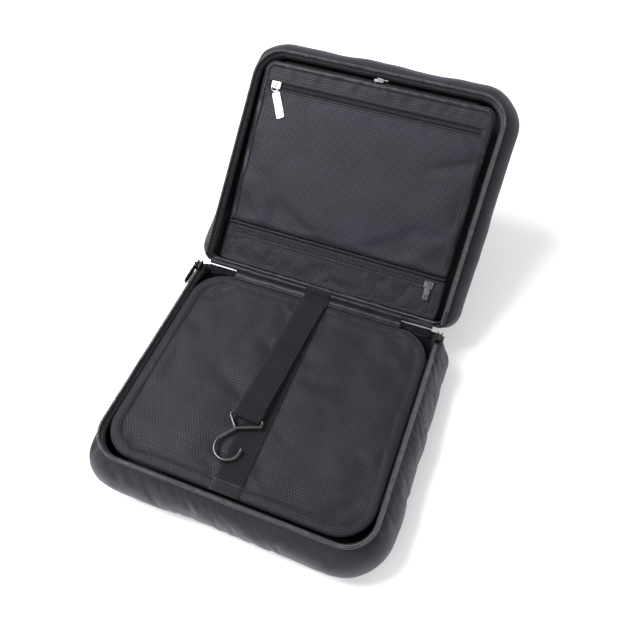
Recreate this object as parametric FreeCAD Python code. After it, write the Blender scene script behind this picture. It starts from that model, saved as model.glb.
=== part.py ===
"""Cable organizer pouch: a zipped two-part soft case that opens like a book.

The base half stands on its flat bottom and the lid half is folded back on a fabric hinge.
Inside are a padded flap over the base, a hanging strap with a wire hook, and a pocket page in
the lid.  Millimetres, +Z up, +X along the hinge, +Y from the front towards the hinge.
The origin is the centre of the base's flat underside.
"""
import FreeCAD, Part
import math
import os

Vector = FreeCAD.Vector
X_AXIS = Vector(1, 0, 0)
Z_AXIS = Vector(0, 0, 1)
ORIGIN = Vector(0, 0, 0)

# ---- Driving dimensions -------------------------------------------------------------------
rim_width = 250.0          # outside of the zip tape, along the hinge
rim_depth = 218.0          # hinge axis to the outside of the front zip tape
front_radius = 28.0        # rim corners away from the hinge
spine_radius = 24.0        # upright corners beside the hinge
base_height = 55.0
lid_height = 33.0
base_bulge = 15.0          # how far the soft side walls stand out past the rim
lid_bulge = 13.0
band_height = 7.0          # upright zip band above the bulging wall
lid_angle = 38.0           # slope of the lid as it lies open, above level
page_angle = 4.0           # lean of the pocket page out of the lid

skin_thickness = 1.2       # outer nylon
foam_thickness = 2.0
lining_thickness = 0.8
ply_gap = 0.05             # between neighbouring plies
move_gap = 0.35            # between pieces that move past each other
spine_gap = 0.2            # spine face to the hinge plane, so that the halves can open flat
spine_edge_radius = 8.0    # bottom edge of the spine
bottom_seam_setback = 2.0  # flat bottom panel past the centres of the corner arcs

hinge_roll_radius = 2.4    # rolled satin strip that joins the halves
hinge_skirt_thickness = 1.2
hinge_patch_width = 18.0
hinge_patch_offset = 62.0
hinge_patch_thickness = 0.4

tape_thickness = 1.2
coil_radius = 1.2
coil_end = 17.0            # chain stops this far from the hinge, where the sliders park
tape_end = 4.0

flap_side_gap = 5.0        # flap edge to the outside of the rim
flap_front_gap = 6.0
flap_radius = 32.0
flap_thickness = 4.0
flap_drop = 4.5            # top of the flap below the rim
flap_seam_gap = 0.1        # spine lining to the seam that the flap turns on
flap_cover_thickness = 0.9
flap_binding_width = 10.0
flap_roll_radius = 1.6

webbing_width = 25.0
webbing_thickness = 1.5
strap_root = 12.0          # hinge axis to the strap's sewn end
strap_front_gap = 73.0     # hook bar to the outside of the front zip tape
strap_slant = 3.5          # degrees towards -X
strap_return = 28.0        # doubled end behind the hook bar

hook_wire = 3.2            # diameter
hook_shoulder = 4.8        # straight legs beside the webbing loop
hook_neck = (5.0, 14.0)    # where the legs meet: sideways, and away from the bar
hook_centre = (2.8, 31.0)  # centre of the round hook
hook_radius = 11.5         # centre line of the round hook
hook_end = 192.0           # angle of the wire's end round that centre, in degrees
hook_bend = 2.4            # centre-line radius of the small bends
hook_weld = 2.0            # radius of the weld where the leg meets the neck
hook_droop = 2.0           # degrees below level as it lies on the flap

page_pivot = 45.0          # hinge axis to page axis
page_depth = 16.0          # page axis below the lid rim
page_side_gap = 10.0       # page edge to the outside of the rim
page_top_gap = 10.0        # page's top edge to the outside of the front zip tape
page_thickness = 5.0
page_panel_thickness = 1.4
page_radius = 10.0
page_binding_width = 6.0
page_roll_radius = 1.5
page_zip_drop = 23.0       # page's top edge to the front zip
page_zip_end = 9.0         # page's side edge to the end of the front zip
top_zip_end = 19.0         # page's side edge to the end of the top zip
top_zip_tape_width = 7.0
zip_window = 7.0           # width of the opening over a pocket zip
pocket_tape_width = 16.0
pocket_tape_thickness = 0.6
pocket_coil_width = 3.0
pocket_coil_height = 1.3

lower_panel_depth = 17.0   # lower pocket panel below the lid rim
lower_panel_thickness = 1.2
lower_panel_start = 5.0
lower_panel_end = 43.0
lower_panel_side_gap = 5.0
lower_zip_height = 37.0    # hinge axis to the lower zip
lower_zip_end = 9.0        # panel's side edge to the end of the lower zip

slider_length = 9.0
slider_width = 6.4
slider_wall = 0.8
bridge_length = 4.6
bridge_height = 2.0
bridge_wall = 0.7
ring_radius = 3.4
ring_wire = 0.9
pull_thickness = 1.2
front_pull_size = (25.0, 7.6)
front_pull_swing = 26.0    # degrees that the tab hangs to one side of the ring
lower_pull_size = (15.0, 5.6)
top_pull_size = (9.0, 4.6)
parked_slider_end = 7.0    # a closed slider's middle to the end of its zip

main_slider_length = 9.0
main_slider_half_height = 3.6
main_slider_wall = 0.9
main_slider_park = 10.0    # hinge axis to the parked slider
main_post_setback = 1.0    # post between the plates, shorter at each end
ear_reach = 2.2            # two ears that hold the pull's pin
ear_width = 2.4
ear_thickness = 1.0
ear_level = 2.6
main_pin_radius = 0.8
main_pull_size = (24.0, 5.6)
main_pull_neck = 3.0

# ---- Worked-out sizes ---------------------------------------------------------------------
half_width = rim_width / 2
hinge_y = rim_depth / 2
wall_thickness = skin_thickness + foam_thickness + lining_thickness + 2 * ply_gap
base_spec = {"height": base_height, "bulge": base_bulge}
lid_spec = {"height": lid_height, "bulge": lid_bulge}
reach = 2 * (rim_width + rim_depth)        # longer than anything, for cutting shapes
flap_pivot = spine_gap + wall_thickness + flap_seam_gap + flap_roll_radius
strap_length = rim_depth - strap_root - strap_front_gap
page_half_width = half_width - page_side_gap
page_length = rim_depth - page_pivot - page_top_gap
page_zip_height = page_length - page_zip_drop
page_zip_half_length = page_half_width - page_zip_end
top_zip_half_length = page_half_width - top_zip_end
lower_panel_half = half_width - wall_thickness - lower_panel_side_gap
lower_zip_half_length = lower_panel_half - lower_zip_end


# ---- Helpers ------------------------------------------------------------------------------
def box(x0, x1, y0, y1, z0, z1):
    return Part.makeBox(x1 - x0, y1 - y0, z1 - z0, Vector(x0, y0, z0))


def cylinder(radius, start, end):
    return Part.makeCylinder(radius, (end - start).Length, start, end - start)


def segment(a, b):
    return Part.LineSegment(a, b).toShape()


def arc(a, middle, b):
    return Part.Arc(a, middle, b).toShape()


def fuse(shapes):
    return shapes[0].fuse(shapes[1:]).removeSplitter()


def moved(shape, rotation_axis=Z_AXIS, degrees=0.0, offset=ORIGIN):
    out = shape.copy()
    out.rotate(ORIGIN, rotation_axis, degrees)
    out.translate(offset)
    return out


def in_base(shape):
    """From a half's own frame (hinge at y = 0, rim at z = 0) to the base's place."""
    return moved(shape, Z_AXIS, 180, Vector(0, hinge_y, base_height))


def in_lid(shape):
    return moved(shape, X_AXIS, lid_angle, Vector(0, hinge_y, base_height))


def in_page(shape):
    """From the page's frame (axis at the origin, page along +Y) to its place in the lid."""
    return in_lid(moved(shape, X_AXIS, page_angle, Vector(0, page_pivot, -page_depth)))


def wall_arc(spec, inset):
    """Centre (u, z) and radius of the bulging wall's arc, tangent to the flat bottom.

    u counts outwards from the rim.  The arc of the outer face starts under the zip band.
    """
    drop = spec["height"] - band_height
    bulge = spec["bulge"]
    total = bulge + drop
    radius = total - math.sqrt(total ** 2 - bulge ** 2 - drop ** 2)
    return bulge - radius, radius - spec["height"], radius - inset


def wall_section(spec, inset, top, inner, place):
    """Closed face between an inner upright line and the bulging wall; place maps (u, z)."""
    centre_u, centre_z, radius = wall_arc(spec, inset)
    rise = math.sqrt(radius ** 2 - (-inset - centre_u) ** 2)
    start_angle = math.atan2(rise, -inset - centre_u)
    middle_angle = (start_angle - math.pi / 2) / 2
    bottom = centre_z - radius
    shoulder = centre_z + rise
    points = [place(inner, bottom), place(inner, top), place(-inset, top)]
    if top - shoulder > ply_gap:
        points.append(place(-inset, shoulder))
    middle = place(centre_u + radius * math.cos(middle_angle),
                   centre_z + radius * math.sin(middle_angle))
    foot = place(centre_u, bottom)
    edges = [segment(a, b) for a, b in zip(points, points[1:])]
    edges += [arc(points[-1], middle, foot), segment(foot, points[0])]
    return Part.Face(Part.Wire(edges))


def spine_outline(inset):
    """Plan shape with the two rounded upright corners beside the hinge."""
    half = half_width + max(base_bulge, lid_bulge) - inset
    rear = spine_gap + inset
    radius = spine_radius - inset
    cut = radius * (1 - math.sqrt(0.5))
    p = [Vector(-half, reach, -reach), Vector(-half, rear + radius, -reach)]
    p += [Vector(-half + radius, rear, -reach), Vector(half - radius, rear, -reach)]
    p += [Vector(half, rear + radius, -reach), Vector(half, reach, -reach)]
    left = arc(p[1], Vector(-half + cut, rear + cut, -reach), p[2])
    right = arc(p[3], Vector(half - cut, rear + cut, -reach), p[4])
    edges = [segment(p[0], p[1]), left, segment(p[2], p[3]), right, segment(p[4], p[5])]
    return Part.Face(Part.Wire(edges + [segment(p[5], p[0])])).extrude(Vector(0, 0, 2 * reach))


def spine_edge(spec, inset):
    """Side view shape that rounds the spine's bottom edge."""
    rear = spine_gap + inset
    bottom = inset - spec["height"]
    radius = spine_edge_radius - inset
    cut = radius * (1 - math.sqrt(0.5))
    p = [Vector(-reach, rear, reach), Vector(-reach, rear, bottom + radius)]
    p += [Vector(-reach, rear + radius, bottom), Vector(-reach, reach, bottom)]
    p += [Vector(-reach, reach, reach)]
    edges = [segment(p[0], p[1]), arc(p[1], Vector(-reach, rear + cut, bottom + cut), p[2])]
    edges += [segment(p[2], p[3]), segment(p[3], p[4]), segment(p[4], p[0])]
    return Part.Face(Part.Wire(edges)).extrude(Vector(2 * reach, 0, 0))


def half_volume(spec, inset, top):
    """Solid that fills one half, drawn in by inset on every face but the top."""
    corner_x = half_width - front_radius
    corner_y = rim_depth - front_radius
    pieces = []
    for side in (-1, 1):
        section = wall_section(spec, inset, top, -half_width,
                               lambda u, z, s=side: Vector(s * (half_width + u), 0, z))
        pieces.append(section.extrude(Vector(0, corner_y, 0)))
        section = wall_section(spec, inset, top, -front_radius,
                               lambda u, z, s=side: Vector(s * (half_width + u), corner_y, z))
        centre = Vector(side * corner_x, corner_y, 0)
        pieces.append(section.revolve(centre, Z_AXIS, side * 90))
    section = wall_section(spec, inset, top, -front_radius,
                           lambda u, z: Vector(-corner_x, rim_depth + u, z))
    pieces.append(section.extrude(Vector(2 * corner_x, 0, 0)))
    return fuse(pieces).common(spine_outline(inset)).common(spine_edge(spec, inset))


def tray(spec, inset, thickness, top):
    """Open tray of one ply, following the half's walls and bottom."""
    outer = half_volume(spec, inset, top)
    return outer.cut(half_volume(spec, inset + thickness, top + reach))


def rim_plan(offset, start, z):
    """Plan face inside the rim at an outward offset, square at the hinge end."""
    half = half_width + offset
    far = rim_depth + offset
    radius = front_radius + offset
    cut = radius * (1 - math.sqrt(0.5))
    p = [Vector(-half, start, z), Vector(-half, far - radius, z), Vector(-half + radius, far, z)]
    p += [Vector(half - radius, far, z), Vector(half, far - radius, z), Vector(half, start, z)]
    left = arc(p[1], Vector(-half + cut, far - cut, z), p[2])
    right = arc(p[3], Vector(half - cut, far - cut, z), p[4])
    edges = [segment(p[0], p[1]), left, segment(p[2], p[3]), right, segment(p[4], p[5])]
    return Part.Face(Part.Wire(edges + [segment(p[5], p[0])]))


def rounded_plate(half, y0, y1, z0, z1, front, rear):
    """Flat plate with rounded corners: front for the far end, rear for the hinge end."""
    plate = box(-half, half, y0, y1, z0, z1)
    upright = [e for e in plate.Edges if abs(e.tangentAt(e.FirstParameter).z) > 0.9]
    far = [e for e in upright if e.CenterOfMass.y > (y0 + y1) / 2]
    if front:
        plate = plate.makeFillet(front, far)
    if rear:
        upright = [e for e in plate.Edges if abs(e.tangentAt(e.FirstParameter).z) > 0.9]
        near = [e for e in upright if abs(e.CenterOfMass.y - y0) < 0.01]
        plate = plate.makeFillet(rear, near)
    return plate


# ---- The two halves -----------------------------------------------------------------------
def skin_parts(spec):
    """Outer skin cut along its seams into bottom, spine and gusset."""
    skin = tray(spec, 0.0, skin_thickness, -band_height)
    flat = front_radius - bottom_seam_setback
    seam = half_width - flat
    bottom_tool = rounded_plate(seam, spine_edge_radius + spine_gap, rim_depth - flat,
                                -spec["height"] - 1, -spec["height"] + skin_thickness + ply_gap,
                                front_radius / 2, front_radius / 2)
    seam_x = half_width + max(base_bulge, lid_bulge) - spine_radius
    spine_tool = box(-seam_x, seam_x, -1, spine_gap + skin_thickness + ply_gap,
                     spine_edge_radius - spec["height"], 1)
    bottom = skin.common(bottom_tool)
    spine = skin.common(spine_tool)
    return bottom, spine, skin.cut(bottom_tool).cut(spine_tool)


def foam_tray(spec):
    return tray(spec, skin_thickness + ply_gap, foam_thickness, -band_height)


def lining_tray(spec):
    inset = skin_thickness + foam_thickness + 2 * ply_gap
    return tray(spec, inset, lining_thickness, -band_height)


def zip_tape():
    """Upright tape round three sides of the rim, under the teeth."""
    low = -band_height + ply_gap
    high = -2 * coil_radius - ply_gap
    outer = rim_plan(0.0, tape_end, low).extrude(Vector(0, 0, high - low))
    inner = rim_plan(-tape_thickness, tape_end - 1, low - 1).extrude(Vector(0, 0, reach))
    return outer.cut(inner)


def zip_coil():
    """One half of the zip teeth, round three sides of the rim."""
    offset = -tape_thickness / 2
    level = -coil_radius - ply_gap
    half = half_width + offset
    far = rim_depth + offset
    radius = front_radius + offset
    pieces = []
    for side in (-1, 1):
        edge = Vector(side * half, coil_end, level)
        pieces.append(cylinder(coil_radius, edge, Vector(side * half, far - radius, level)))
        centre = Vector(side * (half - radius), far - radius, level)
        turn = Part.makeTorus(radius, coil_radius, ORIGIN, Z_AXIS, 0, 360, 90)
        pieces.append(moved(turn, Z_AXIS, 0 if side > 0 else 90, centre))
    left = Vector(radius - half, far, level)
    pieces.append(cylinder(coil_radius, left, Vector(half - radius, far, level)))
    return fuse(pieces)


def hinge_strip():
    """Rolled satin strip on the hinge axis, with a skirt down the inside of the spine."""
    length = half_width + max(base_bulge, lid_bulge) - spine_radius - ply_gap
    roll = cylinder(hinge_roll_radius, Vector(-length, 0, 0), Vector(length, 0, 0))
    skirt_top = -hinge_roll_radius / 2
    skirt_bottom = -band_height + ply_gap
    skirt = box(-length, length, spine_gap, spine_gap + hinge_skirt_thickness,
                skirt_bottom, skirt_top)
    return fuse([roll, skirt])


def hinge_patch():
    """Short satin sleeve sewn round the hinge strip."""
    start = Vector(-hinge_patch_offset, 0, 0)
    end = start - Vector(hinge_patch_width, 0, 0)
    sleeve = cylinder(hinge_roll_radius + ply_gap + hinge_patch_thickness, start, end)
    sleeve = sleeve.cut(cylinder(hinge_roll_radius + ply_gap, start + X_AXIS, end - X_AXIS))
    return sleeve.common(box(-half_width, half_width, 0, 2 * hinge_roll_radius,
                             -hinge_roll_radius / 3, 2 * hinge_roll_radius))


# ---- Flap ---------------------------------------------------------------------------------
def flap_ply(top, thickness, inset):
    y0 = flap_pivot + flap_roll_radius + move_gap
    return rounded_plate(half_width - flap_side_gap - inset, y0 + inset,
                         rim_depth - flap_front_gap - inset, -top - thickness, -top,
                         flap_radius - inset, flap_radius - inset)


def flap_cover(top):
    inset = flap_cover_thickness + ply_gap
    return flap_ply(top, flap_cover_thickness, inset)


def flap_foam():
    inset = flap_cover_thickness + ply_gap
    depth = flap_thickness - 2 * flap_cover_thickness - 2 * ply_gap
    return flap_ply(flap_drop + flap_cover_thickness + ply_gap, depth, inset)


def flap_binding():
    """Edge tape round the flap, as thick as a cover ply."""
    edge = flap_ply(flap_drop, flap_thickness, 0.0)
    middle = flap_ply(flap_drop - 1, flap_thickness + 2, flap_cover_thickness)
    return edge.cut(middle)


def flap_roll():
    """Bound seam that the flap turns on, sewn to the spine lining."""
    half = half_width - flap_side_gap - flap_radius
    level = -flap_drop - flap_thickness / 2
    return cylinder(flap_roll_radius, Vector(-half, flap_pivot, level),
                    Vector(half, flap_pivot, level))


def flap_webbing():
    """Flat webbing sewn down the middle of the flap."""
    return box(-webbing_width / 2, webbing_width / 2, strap_root,
               rim_depth - flap_front_gap - flap_binding_width,
               ply_gap - flap_drop, ply_gap - flap_drop + webbing_thickness)


# ---- Hanging strap and hook ---------------------------------------------------------------
loop_inner = hook_wire / 2 + move_gap
loop_outer = loop_inner + webbing_thickness
strap_floor = webbing_thickness + ply_gap - flap_drop + move_gap
loop_level = strap_floor + loop_outer
strap_rise = loop_level + loop_outer - webbing_thickness - strap_floor
strap_pitch = math.degrees(math.asin(strap_rise / strap_length))
bar_level = webbing_thickness - loop_outer      # hook bar, seen from the strap's underside


def in_strap(shape):
    """From the strap's frame (sewn end at the origin, hook bar along +Y) to its place."""
    tipped = moved(shape, X_AXIS, strap_pitch, ORIGIN)
    centre = Vector(0, hinge_y - strap_root, base_height + strap_floor)
    return moved(tipped, Z_AXIS, 180 - strap_slant, centre)


def side_polygon(points, half):
    """Prism across X from (y, z) points."""
    corners = [Vector(-half, y, z) for y, z in points]
    edges = [segment(a, b) for a, b in zip(corners, corners[1:] + corners[:1])]
    return Part.Face(Part.Wire(edges)).extrude(Vector(2 * half, 0, 0))


def hanging_strap():
    """Webbing from its sewn end to the hook, folded round the hook bar and sewn back."""
    half = webbing_width / 2
    ribbon = box(-half, half, 0, strap_length, 0, webbing_thickness)
    start = Vector(-half, strap_length, bar_level)
    end = Vector(half, strap_length, bar_level)
    turn = cylinder(loop_outer, start, end).cut(cylinder(loop_inner, start - X_AXIS, end + X_AXIS))
    turn = turn.common(box(-half, half, strap_length, strap_length + 2 * loop_outer, -reach, reach))
    low = bar_level - loop_outer
    pinch = strap_length - 3 * loop_outer
    sewn = strap_length - strap_return
    points = [(strap_length, low), (pinch - webbing_thickness, -webbing_thickness)]
    points += [(sewn, -webbing_thickness), (sewn, 0), (pinch, 0)]
    points += [(strap_length, low + webbing_thickness)]
    return fuse([ribbon, turn, side_polygon(points, half)])


def bent_path(points, bend):
    """Edges through the points, with each inner corner rounded to the bend radius."""
    edges = []
    last = points[0]
    for before, corner, after in zip(points, points[1:], points[2:]):
        back = (before - corner).normalize()
        ahead = (after - corner).normalize()
        half_turn = back.getAngle(ahead) / 2
        cut = bend / math.tan(half_turn)
        middle = (back + ahead).normalize() * (bend / math.sin(half_turn) - bend)
        edges.append(segment(last, corner + back * cut))
        edges.append(arc(corner + back * cut, corner + middle, corner + ahead * cut))
        last = corner + ahead * cut
    return edges + [segment(last, points[-1])]


def hook():
    """Bent wire: bar through the webbing loop, two legs, neck and a round open hook.

    Built with the bar's centre at the origin and the round hook along +Y.
    """
    half = webbing_width / 2 + move_gap + hook_wire / 2
    neck = Vector(*hook_neck, 0)
    centre = Vector(*hook_centre, 0)
    line = neck - centre
    start = math.atan2(line.y, line.x) + math.acos(hook_radius / line.Length)
    end = math.radians(hook_end)
    tangent, middle, tip = [centre + Vector(math.cos(a), math.sin(a), 0) * hook_radius
                            for a in (start, (start + end) / 2, end)]
    corners = [tangent, neck, Vector(half, hook_shoulder, 0), Vector(half, 0, 0)]
    corners += [Vector(-half, 0, 0), Vector(-half, hook_shoulder, 0), neck]
    path = Part.Wire([arc(tip, middle, tangent)] + bent_path(corners, hook_bend))
    direction = Vector(-math.sin(end), math.cos(end), 0)
    circle = Part.Wire(Part.makeCircle(hook_wire / 2, tip, direction))
    wire = path.makePipeShell([circle], True, False)
    return fuse([wire, Part.makeSphere(hook_weld, neck)])


def in_hook(shape):
    """From the hook's frame (bar at the origin) to its place in the strap's loop."""
    tipped = moved(shape, X_AXIS, -strap_pitch - hook_droop, Vector(0, strap_length, bar_level))
    return in_strap(tipped)


# ---- Pocket page --------------------------------------------------------------------------
page_half_thickness = page_thickness / 2
page_start = page_roll_radius + move_gap


def page_sheet(z0, z1, inset):
    return rounded_plate(page_half_width - inset, page_start + inset, page_length - inset,
                         z0, z1, page_radius - inset, 0)


def page_front_panel():
    """Front of the page with the long opening for its zip."""
    top = page_half_thickness
    panel = page_sheet(top - page_panel_thickness, top, page_panel_thickness + ply_gap)
    window = box(-page_zip_half_length, page_zip_half_length, page_zip_height - zip_window / 2,
                 page_zip_height + zip_window / 2, 0, reach)
    return panel.cut(window)


def page_back_panel():
    bottom = -page_half_thickness
    return page_sheet(bottom, bottom + page_panel_thickness, page_panel_thickness + ply_gap)


def page_binding():
    """Edge tape round the sides and top of the page."""
    frame = page_sheet(-page_half_thickness, page_half_thickness, 0.0)
    middle = page_sheet(-reach, reach, page_panel_thickness)
    gap = box(-page_half_width + page_radius + page_binding_width,
              page_half_width - page_radius - page_binding_width,
              page_length - page_binding_width, page_length + 1,
              -page_half_thickness + page_panel_thickness, page_half_thickness)
    return frame.cut(middle).cut(gap)


def page_roll():
    """Folded seam that joins the page to the lid."""
    return moved(cylinder(page_roll_radius, Vector(-page_half_width, 0, 0),
                          Vector(page_half_width, 0, 0)), offset=Vector(0, page_pivot, -page_depth))


def pocket_tape(half_length, y, top):
    return box(-half_length, half_length, y - pocket_tape_width / 2, y + pocket_tape_width / 2,
               top - pocket_tape_thickness, top)


def pocket_coil(half_length, y, bottom):
    return box(-half_length, half_length, y - pocket_coil_width / 2, y + pocket_coil_width / 2,
               bottom, bottom + pocket_coil_height)


def top_zip_tape():
    """Tape between the page's panels, along its top edge."""
    half = pocket_tape_thickness / 2
    return box(-top_zip_half_length, top_zip_half_length, page_length - top_zip_tape_width,
               page_length - ply_gap, -half, half)


def top_zip_teeth():
    half = pocket_coil_width / 2
    return box(-top_zip_half_length, top_zip_half_length, page_length,
               page_length + pocket_coil_height, -half, half)


# ---- Lower pocket of the lid --------------------------------------------------------------
def lower_panel():
    """Pocket front between the hinge and the page, with the opening for its zip."""
    panel = box(-lower_panel_half, lower_panel_half, lower_panel_start, lower_panel_end,
                -lower_panel_depth - lower_panel_thickness, -lower_panel_depth)
    window = box(-lower_zip_half_length, lower_zip_half_length, lower_zip_height - zip_window / 2,
                 lower_zip_height + zip_window / 2, -reach, reach)
    return panel.cut(window)


# ---- Zip sliders and pulls ----------------------------------------------------------------
# A pocket slider's frame: it slides along X over a chain that stands on z = 0.
slider_roof = pocket_coil_height + move_gap
slider_top = slider_roof + slider_wall
bridge_room = bridge_height - bridge_wall
ring_level = slider_top + bridge_room / 2
pin_radius = bridge_room / 2 - 0.15
sleeve_inner = 0.8
sleeve_outer = 1.3
sleeve_length = 2.5
arm_width = 1.0


def slider_body(turn):
    """Roof over the chain with two flanges, and an arched bridge turned about the upright."""
    half_l = slider_length / 2
    half_w = slider_width / 2
    roof = box(-half_l, half_l, -half_w, half_w, slider_roof, slider_top)
    flange_start = pocket_coil_width / 2 + move_gap
    flanges = [box(-half_l, half_l, flange_start, half_w, move_gap, slider_roof)]
    flanges.append(moved(flanges[0], Z_AXIS, 180))
    half_b = bridge_length / 2
    arch = box(-bridge_wall, bridge_wall, -half_b, half_b, slider_top, slider_top + bridge_height)
    hole = box(-reach, reach, bridge_wall - half_b, half_b - bridge_wall,
               slider_top, slider_top + bridge_room)
    return fuse([roof, moved(arch.cut(hole), Z_AXIS, turn)] + flanges)


def pull_ring():
    """Ring through the bridge, lying flat and hanging towards -Y."""
    return Part.makeTorus(ring_radius, ring_wire / 2, Vector(0, -ring_radius, ring_level), Z_AXIS)


def rounded_tab(half, y0, y1, z0, z1):
    tab = box(-half, half, y0, y1, z0, z1)
    edges = [e for e in tab.Edges if abs(e.tangentAt(e.FirstParameter).z) > 0.9]
    return tab.makeFillet(half / 3, edges)


def ring_pull(size):
    """Flat tab hanging from the ring by a short sleeve, swung a little to one side."""
    length, width = size
    low_wire = -2 * ring_radius
    left = Vector(-sleeve_length / 2, low_wire, ring_level)
    right = Vector(sleeve_length / 2, low_wire, ring_level)
    top = low_wire - sleeve_outer + pull_thickness / 4
    half_t = pull_thickness / 2
    tab = rounded_tab(width / 2, top - length, top, ring_level - half_t, ring_level + half_t)
    bore = cylinder(sleeve_inner, left - X_AXIS, right + X_AXIS)
    shape = fuse([cylinder(sleeve_outer, left, right), tab]).cut(bore)
    about_ring = moved(shape, offset=Vector(0, ring_radius, 0))
    return moved(about_ring, Z_AXIS, front_pull_swing, Vector(0, -ring_radius, 0))


def pin_pull(size):
    """Tab along -Y with two arms and its own pin through the slider's bridge."""
    length, width = size
    inner = bridge_wall + move_gap
    outer = inner + arm_width
    tab_start = bridge_length / 2 + move_gap
    low = ring_level - pin_radius
    high = ring_level + pin_radius
    pin = cylinder(pin_radius, Vector(-outer, 0, ring_level), Vector(outer, 0, ring_level))
    arms = [box(-outer, -inner, -tab_start - arm_width, 0, low, high)]
    arms.append(box(inner, outer, -tab_start - arm_width, 0, low, high))
    return fuse([pin, rounded_tab(width / 2, -length, -tab_start, low, high)] + arms)


def main_slider(side):
    """Two plates either side of the rim, joined by a post above the teeth.

    Built in a half's frame at its parked place, side is +1 or -1 along X.
    """
    y0 = main_slider_park - main_slider_length / 2
    y1 = main_slider_park + main_slider_length / 2
    inner = half_width - tape_thickness / 2 - coil_radius - move_gap
    outer = half_width - tape_thickness / 2 + coil_radius + move_gap
    height = main_slider_half_height
    plates = [box(inner - main_slider_wall, inner, y0, y1, -height, height),
              box(outer, outer + main_slider_wall, y0, y1, -height, height)]
    post = box(inner, outer, y0 + main_post_setback, y1 - main_post_setback,
               move_gap, 2 * coil_radius - move_gap)
    ear = outer + main_slider_wall
    ears = [box(ear, ear + ear_reach,
                main_slider_park - ear_width / 2, main_slider_park + ear_width / 2,
                sign * ear_level - ear_thickness / 2, sign * ear_level + ear_thickness / 2)
            for sign in (-1, 1)]
    shape = fuse(plates + [post] + ears)
    return shape if side > 0 else shape.mirror(ORIGIN, X_AXIS)


def main_pull(side):
    """Tab on an upright pin between the slider's ears, lying along the rim."""
    length, width = main_pull_size
    ear = half_width - tape_thickness / 2 + coil_radius + move_gap + main_slider_wall
    pin_x = ear + move_gap + main_pin_radius
    half_t = pull_thickness / 2
    low = ear_thickness / 2 + move_gap / 2 - ear_level
    neck_end = main_slider_park + main_pull_neck
    knuckle = cylinder(main_pin_radius, Vector(pin_x, main_slider_park, low),
                       Vector(pin_x, main_slider_park, -low))
    neck = box(pin_x - half_t, pin_x + half_t, main_slider_park, neck_end, low, -low)
    tab = box(pin_x - half_t, pin_x + half_t, neck_end - main_post_setback,
              main_slider_park + length, -width / 2, width / 2)
    edges = [e for e in tab.Edges if abs(e.tangentAt(e.FirstParameter).x) > 0.9]
    shape = fuse([knuckle, neck, tab.makeFillet(width / 6, edges)])
    return shape if side > 0 else shape.mirror(ORIGIN, X_AXIS)


# ---- Assembly -----------------------------------------------------------------------------
def base_nodes():
    bottom, spine, gusset = skin_parts(base_spec)
    return {
        "base_bottom_panel": in_base(bottom),
        "base_spine_panel": in_base(spine),
        "base_gusset": in_base(gusset),
        "base_foam": in_base(foam_tray(base_spec)),
        "base_lining": in_base(lining_tray(base_spec)),
        "base_zip_tape": in_base(zip_tape()),
        "base_zip_teeth": in_base(zip_coil()),
        "hinge_strip": in_base(hinge_strip()),
        "hinge_patch": in_base(hinge_patch()),
        "flap_hinge_seam": in_base(flap_roll()),
    }


def flap_nodes():
    return {
        "flap_top_cover": in_base(flap_cover(flap_drop)),
        "flap_foam": in_base(flap_foam()),
        "flap_back_cover": in_base(flap_cover(flap_drop + flap_thickness - flap_cover_thickness)),
        "flap_binding": in_base(flap_binding()),
        "flap_webbing": in_base(flap_webbing()),
        "hanging_strap": in_strap(hanging_strap()),
        "hook": in_hook(hook()),
    }


def lid_nodes():
    outer, spine, gusset = skin_parts(lid_spec)
    level = -lower_panel_depth - lower_panel_thickness - ply_gap
    return {
        "lid_outer_panel": in_lid(outer),
        "lid_spine_panel": in_lid(spine),
        "lid_gusset": in_lid(gusset),
        "lid_foam": in_lid(foam_tray(lid_spec)),
        "lid_lining": in_lid(lining_tray(lid_spec)),
        "lid_zip_tape": in_lid(zip_tape()),
        "lid_zip_teeth": in_lid(zip_coil()),
        "lower_pocket_panel": in_lid(lower_panel()),
        "lower_zip_tape": in_lid(pocket_tape(lower_zip_half_length, lower_zip_height, level)),
        "lower_zip_teeth": in_lid(pocket_coil(lower_zip_half_length, lower_zip_height, level)),
        "page_hinge_seam": in_lid(page_roll()),
    }


def page_nodes():
    level = page_half_thickness - page_panel_thickness - ply_gap
    return {
        "page_front_panel": in_page(page_front_panel()),
        "page_back_panel": in_page(page_back_panel()),
        "page_binding": in_page(page_binding()),
        "front_zip_tape": in_page(pocket_tape(page_zip_half_length, page_zip_height, level)),
        "front_zip_teeth": in_page(pocket_coil(page_zip_half_length, page_zip_height, level)),
        "top_zip_tape": in_page(top_zip_tape()),
        "top_zip_teeth": in_page(top_zip_teeth()),
    }


def slider_nodes():
    front = Vector(parked_slider_end - page_zip_half_length, page_zip_height,
                   page_half_thickness - page_panel_thickness - ply_gap)
    lower = Vector(lower_zip_half_length - parked_slider_end, lower_zip_height,
                   -lower_panel_depth - lower_panel_thickness - ply_gap)
    top = Vector(0, page_length, 0)
    top_pull = moved(pin_pull(top_pull_size), Z_AXIS, 90)
    nodes = {
        "front_zip_slider": in_page(moved(slider_body(0), offset=front)),
        "front_zip_ring": in_page(moved(pull_ring(), offset=front)),
        "front_zip_pull": in_page(moved(ring_pull(front_pull_size), offset=front)),
        "top_zip_slider": in_page(moved(slider_body(90), X_AXIS, -90, top)),
        "top_zip_pull": in_page(moved(top_pull, X_AXIS, -90, top)),
        "lower_zip_slider": in_lid(moved(slider_body(0), offset=lower)),
        "lower_zip_pull": in_lid(moved(pin_pull(lower_pull_size), offset=lower)),
    }
    for name, side in (("left", 1), ("right", -1)):
        nodes["main_zip_slider_" + name] = in_base(main_slider(side))
        nodes["main_zip_pull_" + name] = in_base(main_pull(side))
    return nodes


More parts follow.
